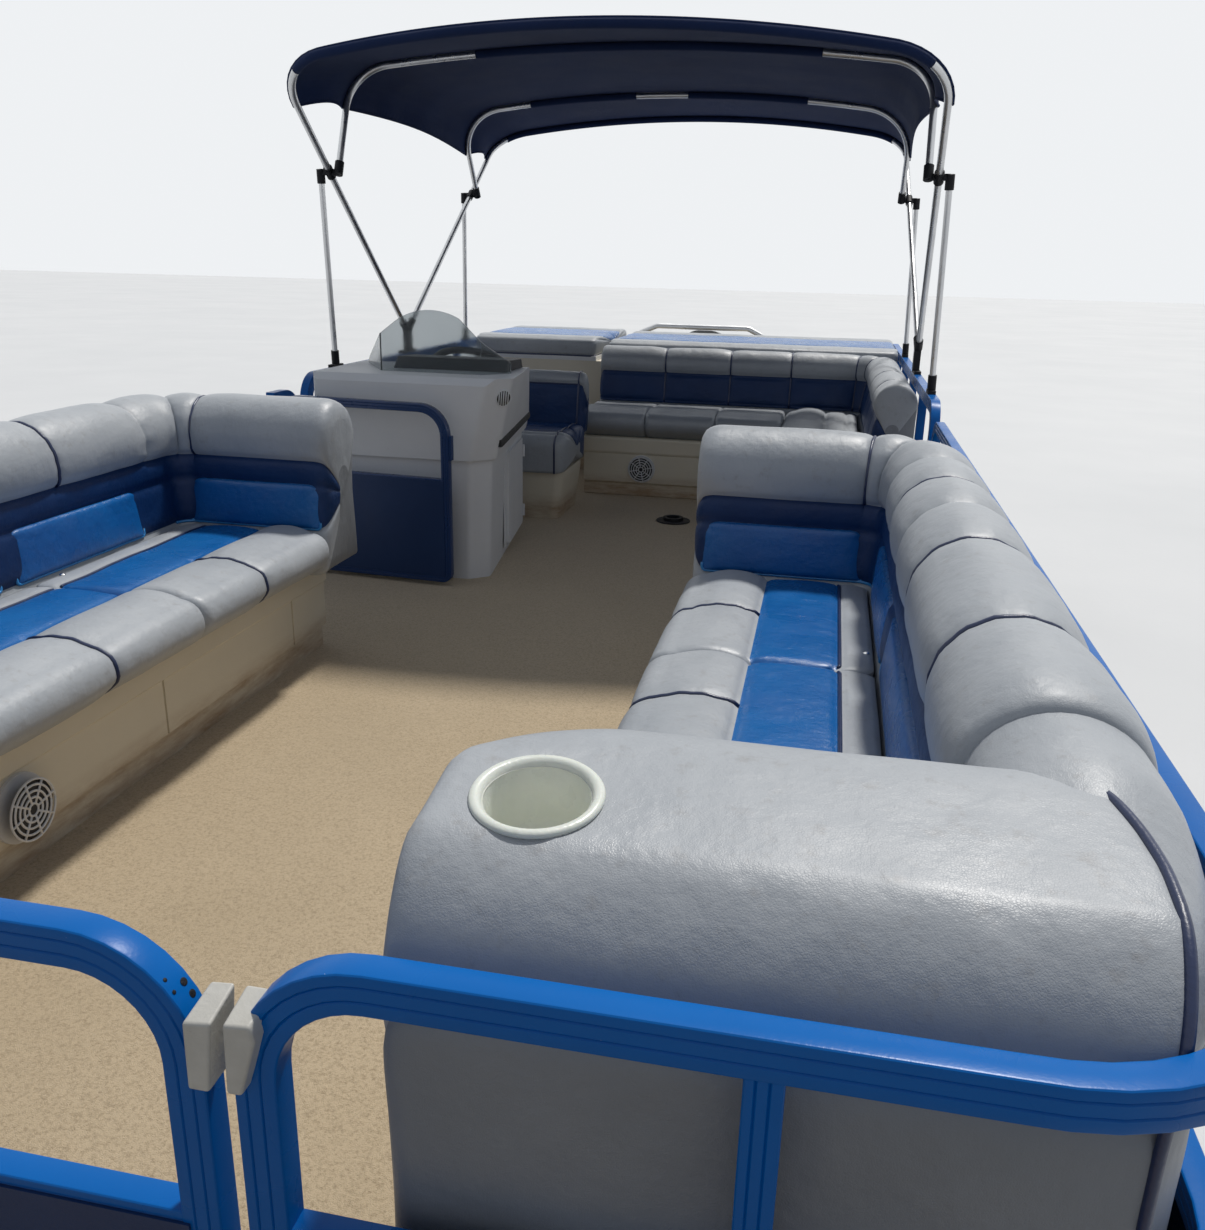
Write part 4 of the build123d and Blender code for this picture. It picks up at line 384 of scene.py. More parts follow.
class Route:
    """A plan path of legs (length, radius), radius 0 for a straight one.

    The seat side is to the left for hand 1 and to the right for hand -1."""

    def __init__(self, start, heading, hand, legs):
        self.hand, self.legs, self.length = hand, [], 0.0
        at, angle = np.array((start[0], FENCE_Y + start[1])), math.radians(heading)
        for length, radius in legs:
            self.legs.append((self.length, radius, at, angle))
            at, angle = self.move(self.legs[-1], length)
            self.length += length

    def move(self, leg, d):
        """Place and heading at a distance along a leg."""
        _, radius, at, angle = leg
        if not radius:
            return at + d * np.array((math.cos(angle), math.sin(angle))), angle
        reach = radius * self.hand
        centre = at + reach * np.array((-math.sin(angle), math.cos(angle)))
        angle += self.hand * d / radius
        return centre - reach * np.array((-math.sin(angle), math.cos(angle))), angle

    def at(self, t):
        """Place and direction to the seat at a distance along the route."""
        leg = [leg for leg in self.legs if t >= leg[0]][-1]
        place, angle = self.move(leg, t - leg[0])
        return place, self.hand * np.array((-math.sin(angle), math.cos(angle)))


def stations(length, step, seams, rims):
    """Distances along a route: even steps, closer at the rims and beside the seams."""
    marks = set(np.linspace(0.0, length, int(length / step) + 1).tolist())
    for share in (0.04, 0.13, 0.28, 0.5, 0.75, 1.0):
        marks |= {rims[0] * share, length - rims[1] * share}
    for seam in seams:
        for gap in (0.0, 0.0035, 0.008, 0.014, 0.022):
            marks |= {seam - gap, seam + gap}
    ordered = [0.0]
    exact = set(seams)
    for mark in sorted(m for m in marks if 0.0 < m < length):
        if mark in exact and mark - ordered[-1] < 0.002 and ordered[-1] not in exact:
            ordered[-1] = mark
        elif mark - ordered[-1] >= 0.002:
            ordered.append(mark)
    if length - ordered[-1] < 0.002:
        ordered.pop()
    return np.array(ordered + [length])


def outward(grid):
    """Unit normals of a closed skin, all away from its middle line."""
    n = np.cross(np.gradient(grid, axis=0), np.roll(grid, -1, axis=1) - np.roll(grid, 1, axis=1))
    n /= np.maximum(np.linalg.norm(n, axis=2, keepdims=True), 1e-9)
    return n * np.sign((n * (grid - grid.mean(axis=1, keepdims=True))).sum())


def round_rims(grid, ends):
    """Draw in the rings near each end as a quarter of an ellipse (length, depth)."""
    middles = grid.mean(axis=1)
    for end, (reach, depth) in ((middles[0], ends[0]), (middles[-1], ends[1])):
        for i, d in enumerate(np.linalg.norm(middles - end, axis=1)):
            if d < reach:
                centre = grid[i].mean(axis=0)
                radial = grid[i] - centre
                size = np.maximum(np.linalg.norm(radial, axis=1, keepdims=True), 1e-6)
                draw = depth * (1 - math.sqrt(1 - (1 - d / reach) ** 2))
                grid[i] = centre + radial * np.maximum(0.2, 1 - draw / size)


WRINKLE = 0.0014
PUCKER = 0.0009
END_DOMES = ((0.86, 0.0035), (0.62, 0.006), (0.34, 0.0075))


class Cushion:
    """A padded form: bands of a closed section carried along a route, puffed between seams, with domed ends.

    Columns of bands: points, material (none where hidden), bulge. Columns of seams: distance, depth."""

    def __init__(self, name, route, bands, seams=(), side=1, ends=(0.014, 0.014), swell=0.006, crease=0.008,
                 seed=1, late=None, hold=None, body="hull", step=0.02, spacing=0.011, z0=DECK_TOP, sewn=None,
                 warp=None, replaces=None):
        counts = [max(2, int(round(lengths(b[0]).sum() / spacing))) for b in bands]
        first = np.concatenate([spaced(b[0], c) for b, c in zip(bands, counts)])
        last = first if late is None else np.concatenate([spaced(b, c) for b, c in zip(late, counts)])
        self.starts = [sum(counts[:i]) for i in range(len(counts) + 1)]
        ends = [end if isinstance(end, tuple) else (end, end) for end in ends]
        self.t = stations(route.length, step, [s[0] for s in seams], [end[0] for end in ends])
        m, n = len(self.t), len(first)
        grid = np.zeros((m, n, 3))
        for i, t in enumerate(self.t):
            place, inward = route.at(t)
            share = 0.0 if late is None else smooth_step((t - hold[0]) / (hold[1] - hold[0]))
            s, z = (first * (1 - share) + last * share).T
            grid[i, :, :2] = place + s[:, None] * inward
            grid[i, :, 2] = z + z0
        if warp:
            warp(grid)
        round_rims(grid, ends)
        height, soft, seamed = np.zeros(n), np.zeros(n), np.zeros(n)
        for k, (_, material, bulge) in enumerate(bands):
            a, b = self.starts[k], self.starts[k + 1]
            height[a:b] = bulge * np.sin(np.pi * (np.arange(b - a) / (b - a))) ** 0.7
            soft[a:b] = bool(material)
            seamed[a:b] = sewn is None or k in sewn
        soft, seamed = blur(soft, 3), blur(seamed, 2)
        puff, dip, pucker = np.ones((m, 1)), 0.0, 0.0
        for t, depth in seams:
            d = np.abs(self.t - t)[:, None]
            puff = puff * (1 - 0.75 * seamed * np.exp(-(d / 0.05) ** 2))
            dip = dip + depth * seamed * np.exp(-d / 0.010)
            pucker = pucker + seamed * np.exp(-d / 0.045)
        height = height * puff + swell * puff * soft - dip * soft
        for k, start in enumerate(self.starts[:-1]):
            if bands[k][1] and bands[k - 1][1]:
                height -= crease * np.exp(-np.abs(np.arange(n) - start) * spacing / 0.008)
        height += soft * WRINKLE * (wander(grid, 14.0, seed) + 0.6 * wander(grid, 34.0, seed + 1))
        ripple = np.sin(np.arange(n) * spacing * 150.0 + 3.0 * wander(grid, 9.0, seed + 2))
        height += PUCKER * soft * pucker * ripple
        self.grid = grid + outward(grid) * height[:, :, None]
        self.grid[:, :, 0] *= side
        self.normal = outward(self.grid)
        self.build(name, bands, body, replaces)

    def build(self, name, bands, body, replaces):
        m, n = self.grid.shape[:2]
        verts = self.grid.reshape(-1, 3).tolist()
        palette = []
        for band in bands:
            if band[1] not in palette:
                palette.append(band[1])
        tints = []
        for k, band in enumerate(bands):
            tints += [palette.index(band[1])] * (self.starts[k + 1] - self.starts[k])
        faces, indices = quads(m, n), tints * (m - 1)
        tints = [tint if palette[tint] else 0 for tint in tints]
        for row, inner in ((0, 1), (m - 1, m - 2)):
            ring, centre = self.grid[row], self.grid[row].mean(axis=0)
            ahead = unit(centre - self.grid[inner].mean(axis=0))
            previous = row * n
            for scale, rise in END_DOMES:
                start = len(verts)
                verts += (centre + (ring - centre) * scale + ahead * rise).tolist()
                faces += between(previous, start, n)
                indices += tints
                previous = start
            faces.append(tuple(range(start, start + n)))
            indices.append(tints[-1])
        # Hidden bands take the darker grey that is painted shade on the skirts.
        materials = [material or GREY_PAINTED_SHADE for material in palette]
        self.obj = piece(name, (verts, faces), materials, body, indices=indices, turn=True, replaces=replaces)

    def row(self, t):
        return int(np.argmin(np.abs(self.t - t)))

    def ring(self, t, first, last, lift):
        """Points around the section, over bands first to last."""
        i = self.row(t)
        cols = [j % self.grid.shape[1] for j in range(self.starts[first], self.starts[last + 1] + 1)]
        return self.grid[i, cols] + self.normal[i, cols] * lift

    def seam(self, band, t0, t1, lift):
        """Points along the start of a band."""
        rows, j = slice(self.row(t0), self.row(t1) + 1), self.starts[band]
        return self.grid[rows, j] + self.normal[rows, j] * lift


# Front couches. Sections are (distance from the outer face, height above the deck).
BACK_TOP = 0.745
ARM_TOP = 0.730
ROLL_W = 0.200
ROLL_TUCK = 0.014
BACK_FOOT = 0.215
CORNER_R = 0.250
NAVY_Z = 0.532
PIPE_Z = 0.412
CAP_Y = 0.420
SEAT_SPLIT = 0.62
PORT_Y1 = 2.150
STAR_Y1 = 2.255
ARM_PAD_W = 0.386
PAD_H = 0.122
PAD_STATIONS = ((0.50, 1.335), (1.385, 1.86))
PAD_THICK = 0.011
PAD_RADII = (0.010, 0.036)
PAD_ROWS = 28

ARM_END = 1.085
ARM_TILT = math.radians(8.0)
ARM_X = (0.068, 0.172, 0.216)
ARM_DROP = 0.150
CORNER_X0 = 0.930
CORNER_TURN = 0.185
SEAM_TURNS = ((-46, 1.026), (-37, 1.050), (-12, 1.067), (12, 1.073), (40, 1.073), (65, 1.069), (90, 1.062))
SEAM_Y = 0.190
SEAM_Z = 0.590

CUP_AT = spot(COUCH_X + 0.095, 0.155, 0.7133)
CUP_AXIS = (0.0, -math.sin(ARM_TILT), math.cos(ARM_TILT))
CUP_HOLE = 0.0470
CUP_DEPTH = 0.075


def back_bands(high, roll, foot, low, navy_z, pipe_z):
    """Outer face, roll, two navy bands, grey foot and underside of a couch back. The upper navy band, right under
    the roll, is painted shade: the roll's shadow on blue vinyl, drawn as navy.
    """
    r = roll / 2
    tuck = (roll - ROLL_TUCK, high - 1.5 * r)

    def face(z):
        return (tuck[0] + (foot - tuck[0]) * (tuck[1] - z) / (tuck[1] - low), z)

    crown = arc((0.0, high - r), (r, high), (roll, high - r), 26)
    return (
        ([(0.0, low), (0.0, high - r)], None, 0.0),
        (crown + [(roll - 0.002, high - 1.28 * r), tuck], GREY, 0.003),
        # Painted shade: the roll's shadow on the blue vinyl, drawn as a navy band.
        ([tuck, face(navy_z)], NAVY, 0.002),
        ([face(navy_z), face(pipe_z)], NAVY, 0.002),
        ([face(pipe_z), (foot, low)], GREY, 0.001),
        ([(foot, low), (0.0, low)], None, 0.0),
    )


def slab(name, plane, width):
    """A pillow with a rounded outline on a plane (origin, x, y, normal): crowned front, flat back."""
    origin, ex, ey, en = (np.array(v, dtype=float) for v in plane)
    w, h, n = width, PAD_H, PAD_ROWS
    u = np.linspace(-1, 1, n)
    edge = np.sign(u) * (1 - (1 - np.abs(u)) ** 1.7)
    verts = []
    for a in edge:
        for b in edge:
            x, y = a * w / 2, b * h / 2
            r = PAD_RADII[1 if b > 0 else 0]
            dx, dy = abs(x) - (w / 2 - r), abs(y) - (h / 2 - r)
            if dx > 0 and dy > 0:
                reach = r / math.hypot(r, r * min(dx, dy) / max(dx, dy))
                x = math.copysign(w / 2 - r + dx * reach, x)
                y = math.copysign(h / 2 - r + dy * reach, y)
            rim = min(1 - abs(a), 1 - abs(b)) * min(w, h) / 2
            lift = (1 - (1 - min(1.0, rim / (PAD_THICK * 1.3))) ** 2.2) ** 0.55
            lift += 0.5 * (1 - a * a) * (1 - b * b)
            verts.append(origin + ex * x + ey * y + en * PAD_THICK * lift)
    verts = np.array(verts)
    verts += en * 0.0011 * wander(verts, 22.0, len(name))[:, None]
    rim = list(range(n)) + [i * n + n - 1 for i in range(1, n)]
    rim += [(n - 1) * n + j for j in range(n - 2, -1, -1)] + [i * n for i in range(n - 2, 0, -1)]
    low = [verts[k] - en * ((verts[k] - origin) @ en) for k in rim]
    top, m = n * n, len(rim)
    faces = [(a, d, c, b) for a, b, c, d in quads(n, n, around=False)]
    faces += [(rim[k], rim[(k + 1) % m], top + (k + 1) % m, top + k) for k in range(m)]
    faces.append(tuple(range(top, top + m)))
    obj = piece(name, (np.concatenate((verts, low)), faces), BLUE, turn=True)
    return [verts[k] + en * PAD_THICK * 0.25 for k in rim + rim[:1]]


def front_back(side, y1, word, replaces):
    """Side run and aft arm of a front couch in one curved roll, with its pipings and glossy pads."""
    start_x = COUCH_X + 0.020
    straight = BACK_OUT - CORNER_R - start_x
    turn = math.pi / 2 * CORNER_R
    legs = ((straight, 0.0), (turn, CORNER_R), (y1 - CORNER_R - CAP_Y, 0.0))

    def at_y(y):
        return straight + turn + (y1 - CORNER_R - y)

    piped = [straight + 0.035] + [at_y(y) for y in (1.58, 1.08, 0.68)]
    pleats = [straight + 0.5 * turn, at_y(y1 - 0.33), at_y(1.34)]
    seams = [(t, 0.009) for t in piped] + [(t, 0.007) for t in pleats]
    bands = back_bands(BACK_TOP, ROLL_W, BACK_FOOT, SEAT_BASE, NAVY_Z, PIPE_Z)
    back = Cushion(word + "_back_cushion", Route((start_x, y1), 0.0, -1, legs), bands, seams, side,
                   ends=((0.040, 0.022), (0.070, 0.015)), seed=5 + side, sewn=(1,), replaces=replaces)
    piping(word + "_back_piping", [back.ring(t, 1, 1, 0.0035) for t in piped], NAVY_PIPE)
    corner = back.seam(4, straight + 0.035, straight + turn - 0.030, 0.003)
    piping(word + "_corner_piping", [corner], SKY_PIPE, 0.0038)

    tuck_z = BACK_TOP - 1.5 * ROLL_W / 2
    lean = (BACK_FOOT - ROLL_W + ROLL_TUCK) / (tuck_z - SEAT_BASE)
    tilt = math.hypot(1.0, lean)
    middle_z = (NAVY_Z + PIPE_Z) / 2
    face = ROLL_W - ROLL_TUCK + lean * (tuck_z - middle_z)
    plane = (spot(side * (start_x + 0.208), y1 - face, middle_z), (1.0, 0.0, 0.0),
             (0.0, lean / tilt, 1 / tilt), (0.0, -1 / tilt, lean / tilt))
    pads = [("_arm_pad", plane, ARM_PAD_W)]
    for k, (a, b) in enumerate(PAD_STATIONS):
        plane = (spot(side * (BACK_OUT - face), (a + b) / 2, middle_z), (0.0, 1.0, 0.0),
                 (side * lean / tilt, 0.0, 1 / tilt), (-side / tilt, 0.0, lean / tilt))
        pads.append(("_side_pad_" + str(k + 1), plane, b - a))
    welts = []
    for name, plane, width in pads:
        low = [q for q in slab(word + name, plane, width) if q[2] < plane[0][2] - 0.3 * PAD_H]
        along = 0 if plane[1][0] else 1
        welts.append(sorted(low, key=lambda q: q[along]))
    piping(word + "_pad_welts", welts, SKY_PIPE, 0.0036)


def arm_swell(grid):
    """Deepen the arm's top towards the seat, away from its open end, and end it on the corner seam."""
    x, y, z = grid[:, :, 0], grid[:, :, 1] - FENCE_Y - COUCH_Y0, grid[:, :, 2] - DECK_TOP
    ramp = np.clip((x - COUCH_X - 0.004) / 0.14, 0, 1)
    back = np.clip((y - 0.11) / 0.10, 0, 1) * np.clip((z - 0.46) / 0.10, 0, 1)
    grid[:, :, 1] += 0.088 * np.sin(ramp * math.pi / 2) * back * back * (3 - 2 * back)
    angle = np.degrees(np.arctan2(FENCE_Y + SEAM_Y - grid[:, :, 1], z - SEAM_Z))
    seam = np.interp(angle, *zip(*SEAM_TURNS))
    grid[:, :, 0] += np.clip((x - 0.900) / (ARM_END - 0.900), 0, 1) * (seam + 0.004 - ARM_END)


def mesh_tree(obj):
    corners = [obj.matrix_world @ v.co for v in obj.data.vertices]
    return BVHTree.FromPolygons(corners, [tuple(p.vertices) for p in obj.data.polygons])


def lay(obj, points, lift):
    """Points dropped onto a piece, given as places to aim at and the ways to them."""
    tree, line = mesh_tree(obj), []
    for aim, way in points:
        way = Vector(way).normalized()
        place = tree.ray_cast(Vector(aim) - way * 0.5, way)[0]
        if place is not None:
            line.append(np.array(place - way * lift))
    line = np.array(line)
    for _ in range(6):
        line[1:-1] = (line[:-2] + 2 * line[1:-1] + line[2:]) / 4
    return line


def front_arm(side, word):
    """Arm at the bow, the corner roll beside it and the piping over the seam between them."""
    bow_x, flat_x, inner_x = ARM_X
    shoulder, flat = ARM_TOP - ARM_DROP, ARM_TOP - 0.0094
    lean = (flat_x - bow_x) * math.tan(ARM_TILT)
    bow_side = arc((0.0, shoulder), (0.018, ARM_TOP - 0.072), (bow_x, flat - lean), 10)
    seat_side = arc((flat_x, flat), (0.232, ARM_TOP - 0.078), (inner_x, shoulder), 12)
    bands = (
        # The bow face below the shoulder is in the darker grey: painted shade under the rail.
        ([(0.0, 0.004), (0.0, shoulder)], GREY_PAINTED_SHADE, 0.001),
        (bow_side + seat_side, GREY, 0.001),
        ([(inner_x, shoulder), (BACK_FOOT, SEAT_BASE)], NAVY, 0.002),
        ([(BACK_FOOT, SEAT_BASE), (0.014, SEAT_BASE)], None, 0.0),
        ([(0.014, SEAT_BASE), (0.014, 0.004)], None, 0.0),
        ([(0.014, 0.004), (0.0, 0.004)], None, 0.0),
    )
    route = Route((COUCH_X, COUCH_Y0), 0.0, 1, ((ARM_END - COUCH_X, 0.0),))
    arm = Cushion(word + "_arm_cushion", route, bands, [], side, ends=(0.022, (0.014, 0.008)), swell=0.001,
                  seed=11 + side, step=0.011, warp=arm_swell)

    # The corner starts 4 to 5 mm inside the arm and takes on its own round section round the turn.
    top, low = ARM_TOP - 0.001, SEAT_BASE + 0.002
    slope = lean / (flat_x - bow_x)
    under = arc((0.004, shoulder - 0.004), (0.022, ARM_TOP - 0.077), (0.072, flat - lean - 0.005), 14)
    under += [(x, flat - 0.005 - (flat_x - x) * slope) for x in np.linspace(0.080, flat_x, 8)]
    under += [(0.178, flat - 0.006), (0.184, flat - 0.008)]
    bands = (
        # The bow face below the shoulder is in the darker grey: painted shade under the rail.
        ([(0.004, 0.004), (0.004, shoulder - 0.004)], GREY_PAINTED_SHADE, 0.001),
        (under, GREY, 0.001),
        ([(0.184, flat - 0.008), (0.178, low)], NAVY, 0.001),
        ([(0.178, low), (0.014, low)], None, 0.0),
        ([(0.014, low), (0.014, 0.004)], None, 0.0),
        ([(0.014, 0.004), (0.0, 0.004)], None, 0.0),
    )
    late = (
        [(0.0, low), (0.0, top - 0.105)], arc((0.0, top - 0.105), (0.092, top), (0.184, top - 0.095), 24),
        [(0.184, top - 0.095), (0.178, low)], [(0.178, low), (0.014, low)],
        [(0.014, low), (0.014, low - 0.004)], [(0.014, low - 0.004), (0.0, low - 0.002)],
    )
    run = BACK_OUT - GAP - CORNER_TURN - CORNER_X0
    turn = math.pi / 2 * CORNER_TURN
    legs = ((run, 0.0), (turn, CORNER_TURN), (CAP_Y + 0.050 - COUCH_Y0 - CORNER_TURN, 0.0))
    Cushion(word + "_corner_cushion", Route((CORNER_X0, COUCH_Y0 + 0.002), 0.0, 1, legs), bands, [], side,
            ends=(0.004, 0.004), swell=0.002, late=late, hold=(run + 0.80 * turn, run + turn + 0.10),
            seed=15 + side, step=0.011)
    angles, places = zip(*SEAM_TURNS)
    points = []
    for angle in np.linspace(angles[0], angles[-1], 40):
        a, x = math.radians(angle), side * float(np.interp(angle, angles, places))
        points.append((spot(x, SEAM_Y, SEAM_Z), (0.0, math.sin(a), -math.cos(a))))
    for z in np.linspace(0.57, 0.02, 24):
        points.append((spot(side * places[-1], 0.20, z), (0.0, 1.0, 0.0)))
    piping(word + "_arm_piping", [lay(arm.obj, points, 0.0016)], NAVY_PIPE, 0.0048)
    return arm


def seat(name, start, length, reach, marks, rings=(), side=1, base=SEAT_BASE, seed=21, heading=-90.0,
         plain=False, replaces=None):
    """Seat cushion from the front roll to the back; marks bound its blue band and rings are its seams."""
    blue_0, blue_1 = marks
    roll = arc((0.048, 0.122), (0.0, 0.076), (0.026, 0.032), 10)[::-1]
    crown = arc((blue_0, 0.121), (0.120, 0.138), (0.048, 0.122), 12)[::-1]
    bands = (
        ([(reach, 0.002), (0.074, 0.002)], None, 0.0),
        ([(0.074, 0.002)] + roll + crown[1:], GREY, 0.001),
        ([(blue_0, 0.121), (blue_1, 0.121)], GREY if plain else BLUE, 0.004),
        ([(blue_1, 0.121), (reach, 0.117)], GREY, 0.003),
        ([(reach, 0.117), (reach, 0.002)], None, 0.0),
    )
    cushion = Cushion(name + "_cushion", Route(start, heading, 1, ((length, 0.0),)), bands,
                      [(t, 0.007) for t in rings], side, ends=(0.020, 0.020), swell=0.003, crease=0.006,
                      seed=seed, z0=DECK_TOP + base, sewn=(1,), replaces=replaces)
    if not plain:
        lines = [cushion.ring(t, 1, 1, 0.0025) for t in rings]
        piping(name + "_piping", lines + [cushion.seam(3, 0.012, length - 0.012, 0.002)], NAVY_PIPE)


def front_seats(side, y1, word, rings, replaces):
    reach = BACK_OUT - BACK_FOOT - GAP - COUCH_X
    cuts = (COUCH_Y0 + BACK_FOOT + GAP, COUCH_Y0 + SEAT_SPLIT * (y1 - COUCH_Y0), y1 - BACK_FOOT - GAP)
    for k, (a, b) in enumerate(zip(cuts[:-1], cuts[1:])):
        seat(word + "_seat_" + str(k + 1), (COUCH_X, b - SEAT_GAP), b - a - 2 * SEAT_GAP, reach,
             (0.198, 0.369), [b - y for y in rings[k]], side, seed=30 + k + side,
             replaces=None if k else replaces)


def carve(obj, at, axis, radius, depth, sides=48):
    """Cut a round well into a closed piece."""
    mesh = bpy.data.meshes.new("cutter")
    verts = turned(((radius, -depth), (radius, 0.05)), at, axis, (0.3, 1.0, 0.2), sides)
    mesh.from_pydata([tuple(v) for v in verts], [], quads(2, sides) + caps(2, sides))
    cutter = add("cutter", mesh)
    cut = obj.modifiers.new("cut", "BOOLEAN")
    cut.object = cutter
    cut.solver = "EXACT"
    bpy.context.view_layer.update()
    carved = bpy.data.meshes.new_from_object(obj.evaluated_get(bpy.context.evaluated_depsgraph_get()))
    obj.modifiers.remove(cut)
    obj.data = carved
    bpy.data.objects.remove(cutter)


# Stern couch: a run across the stern that turns into a leg along the port fence
STERN_X0 = -0.385
STERN_Y0 = 4.590
STERN_Y1 = 5.250
STERN_TOP = 0.690
STERN_ROLL = 0.160
STERN_FOOT = 0.195
STERN_BASE = 0.295
STERN_NAVY_Z = 0.420
STERN_PIPE_Z = 0.418
STERN_CUTS = (STERN_X0, -0.060, 0.280, 0.594)
LEG_Y0 = 3.760
LEG_X0 = 0.600
STERN_R = 0.230


def stern_couch():
    start = STERN_X0 + GAP
    straight = BACK_OUT - 0.002 - STERN_R - start
    turn = math.pi / 2 * STERN_R
    legs = ((straight, 0.0), (turn, STERN_R), (STERN_Y1 - STERN_R - LEG_Y0 - GAP, 0.0))
    bands = back_bands(STERN_TOP, STERN_ROLL, STERN_FOOT, STERN_BASE, STERN_NAVY_Z, STERN_PIPE_Z)
    # The navy band under the roll, painted shade as on the front couches, bulges more here.
    bands = bands[:2] + ((bands[2][0], NAVY, 0.004),) + bands[3:]
    piped = [x - start for x in (-0.04, 0.30, 0.61)] + [straight + 0.06, straight + 0.62 * turn]
    piped += [straight + turn + d for d in (0.22, 0.62, 1.0)]
    back = Cushion("stern_back_cushion", Route((start, STERN_Y1 - SEAT_GAP), 0.0, -1, legs), bands,
                   [(t, 0.007) for t in piped], swell=0.003, seed=41, step=0.03, spacing=0.014, sewn=(1, 2),
                   replaces="stern_back_cushions")
    piping("stern_back_piping", [back.ring(t, 1, 2, 0.002) for t in piped], NAVY_PIPE)
    for k, (a, b) in enumerate(zip(STERN_CUTS[:-1], STERN_CUTS[1:])):
        seat("stern_seat_" + str(k + 1), (a + SEAT_GAP, STERN_Y0), b - a - 2 * SEAT_GAP,
             STERN_Y1 - STERN_FOOT - GAP - STERN_Y0, (0.215, 0.330), base=STERN_BASE, seed=51 + k,
             heading=0.0, plain=True, replaces=None if k else "stern_seat_cushions")
    middle = (LEG_Y0 + STERN_Y0) / 2
    for k, (a, b) in enumerate(((LEG_Y0 + 0.005, middle), (middle, STERN_Y0 + 0.45))):
        seat("stern_leg_seat_" + str(k + 1), (LEG_X0, b - SEAT_GAP), b - a - 2 * SEAT_GAP,
             BACK_OUT - STERN_FOOT - GAP - LEG_X0, (0.200, 0.300), base=STERN_BASE, seed=61 + k, plain=True)


def block_bands(depth, height, r, materials, t0, zones):
    """Rounded block section from height t0 up; its top is split into colour zones."""
    c = 1 - math.sqrt(0.5)
    near = arc((0.0, height - r), (c * r, height - c * r), (r, height), 6)
    far = arc((depth - r, height), (depth - c * r, height - c * r), (depth, height - r), 6)
    edges = [r + (depth - 2 * r) * edge for edge in (0.0, *zones, 1.0)]
    rows = [([(0.0, t0), (0.0, height - r)] + near[1:], materials[0], 0.001)]
    for a, b, material in zip(edges[:-1], edges[1:], materials[1:]):
        rows.append(([(a, height), (b, height)], material, 0.004))
    rows.append((far + [(depth, t0)], materials[-1], 0.001))
    return (*rows, ([(depth, t0), (0.0, t0)], None, 0.0))


def sun_pads():
    y0, y1 = 5.268, 6.212
    for name, body, replaced in (("port_pad", "hull", "port_sun_pad"),
                                 ("starboard_pad", "sundeck_lid", "starboard_sun_pad")):
        low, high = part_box(replaced)
        x0, length, height = low[0] + 0.002, high[0] - low[0] - 0.004, high[2] - GAP - low[2]
        bands = block_bands(y1 - y0, height, 0.030, (GREY, GREY, BLUE, GREY, GREY), 0.001, (0.20, 0.80))
        pad = Cushion(name, Route((x0, y0), 0.0, 1, ((length, 0.0),)), bands, ends=(0.030, 0.030),
                      swell=0.002, seed=71, body=body, step=0.03, spacing=0.016, z0=low[2], replaces=replaced)
        rims = ((2, 0.02, 0.001), (3, 0.02, 0.001), (0, 0.004, 0.002))
        piping(name + "_piping", [pad.seam(band, end, length - end, lift) for band, end, lift in rims],
               NAVY_PIPE, body=body)


CHAIR_X = -0.530
CHAIR_Y = 4.235
CHAIR_W = 0.424
CHAIR_BACK_W = 0.392
CHAIR_LEAN = 0.030
CHAIR_DEPTH = 0.094


def helm_chair():
    bands = block_bands(0.428, 0.168, 0.050, (GREY, GREY, NAVY, NAVY, NAVY), 0.003, (0.16, 0.60))
    route = Route((CHAIR_X - CHAIR_W / 2, CHAIR_Y - 0.230), 0.0, 1, ((CHAIR_W, 0.0),))
    chair = Cushion("helm_chair_cushion", route, bands, ends=(0.045, 0.045), swell=0.003, seed=81,
                    z0=DECK_TOP + 0.215, replaces="helm_chair_seat")
    lean, depth = CHAIR_LEAN, CHAIR_DEPTH
    crown = arc((lean, 0.560), (lean + depth / 2 + 0.01, 0.611), (lean + depth, 0.560), 14)
    bands = (
        ([(0.0, 0.304), (lean, 0.560)], NAVY, 0.006),
        (crown, GREY, 0.002),
        ([(lean + depth, 0.560), (depth, 0.304)], GREY, 0.004),
        ([(depth, 0.304), (0.0, 0.304)], None, 0.0),
    )
    route = Route((CHAIR_X - CHAIR_BACK_W / 2, CHAIR_Y + 0.208), 0.0, 1, ((CHAIR_BACK_W, 0.0),))
    back = Cushion("helm_chair_back_cushion", route, bands, ends=(0.030, 0.030), swell=0.002, seed=85,
                   replaces="helm_chair_back")
    for name, part, width, band, end, last in (
        ("helm_chair_piping", chair, CHAIR_W, 2, 0.045, 4),
        ("helm_chair_back_piping", back, CHAIR_BACK_W, 1, 0.030, 2),
    ):
        rings = [part.ring(t, 0, last, 0.001) for t in (end, width - end)]
        piping(name, [part.seam(band, 0.02, width - 0.02, 0.001)] + rings, NAVY_PIPE)


# Folding top. Columns: foot station and height, the same of a second point that sets the slope,
# foot half width, shoulder height, crown height, corner radius.
BOWS = (
    (4.345, 0.787, 3.463, 1.419, 1.165, 1.608, 1.803, 0.240),
    (3.463, 1.419, 3.580, 1.700, 1.071, 1.650, 1.862, 0.170),
    (5.139, 1.429, 4.960, 1.690, 1.071, 1.610, 1.858, 0.240),
    (4.345, 0.787, 5.139, 1.429, 1.165, 1.625, 1.850, 0.240),
)
SHOULDER_X = 1.088
TUBE_R = 0.0125
CLOTH_LIFT = 0.0036
HEM_R = 0.0042
SLEEVES = ((0, -1.02, 1.02), (1, -0.592, 0.687), (2, -0.721, -0.181), (2, 0.052, 0.607), (3, -1.02, 1.02))


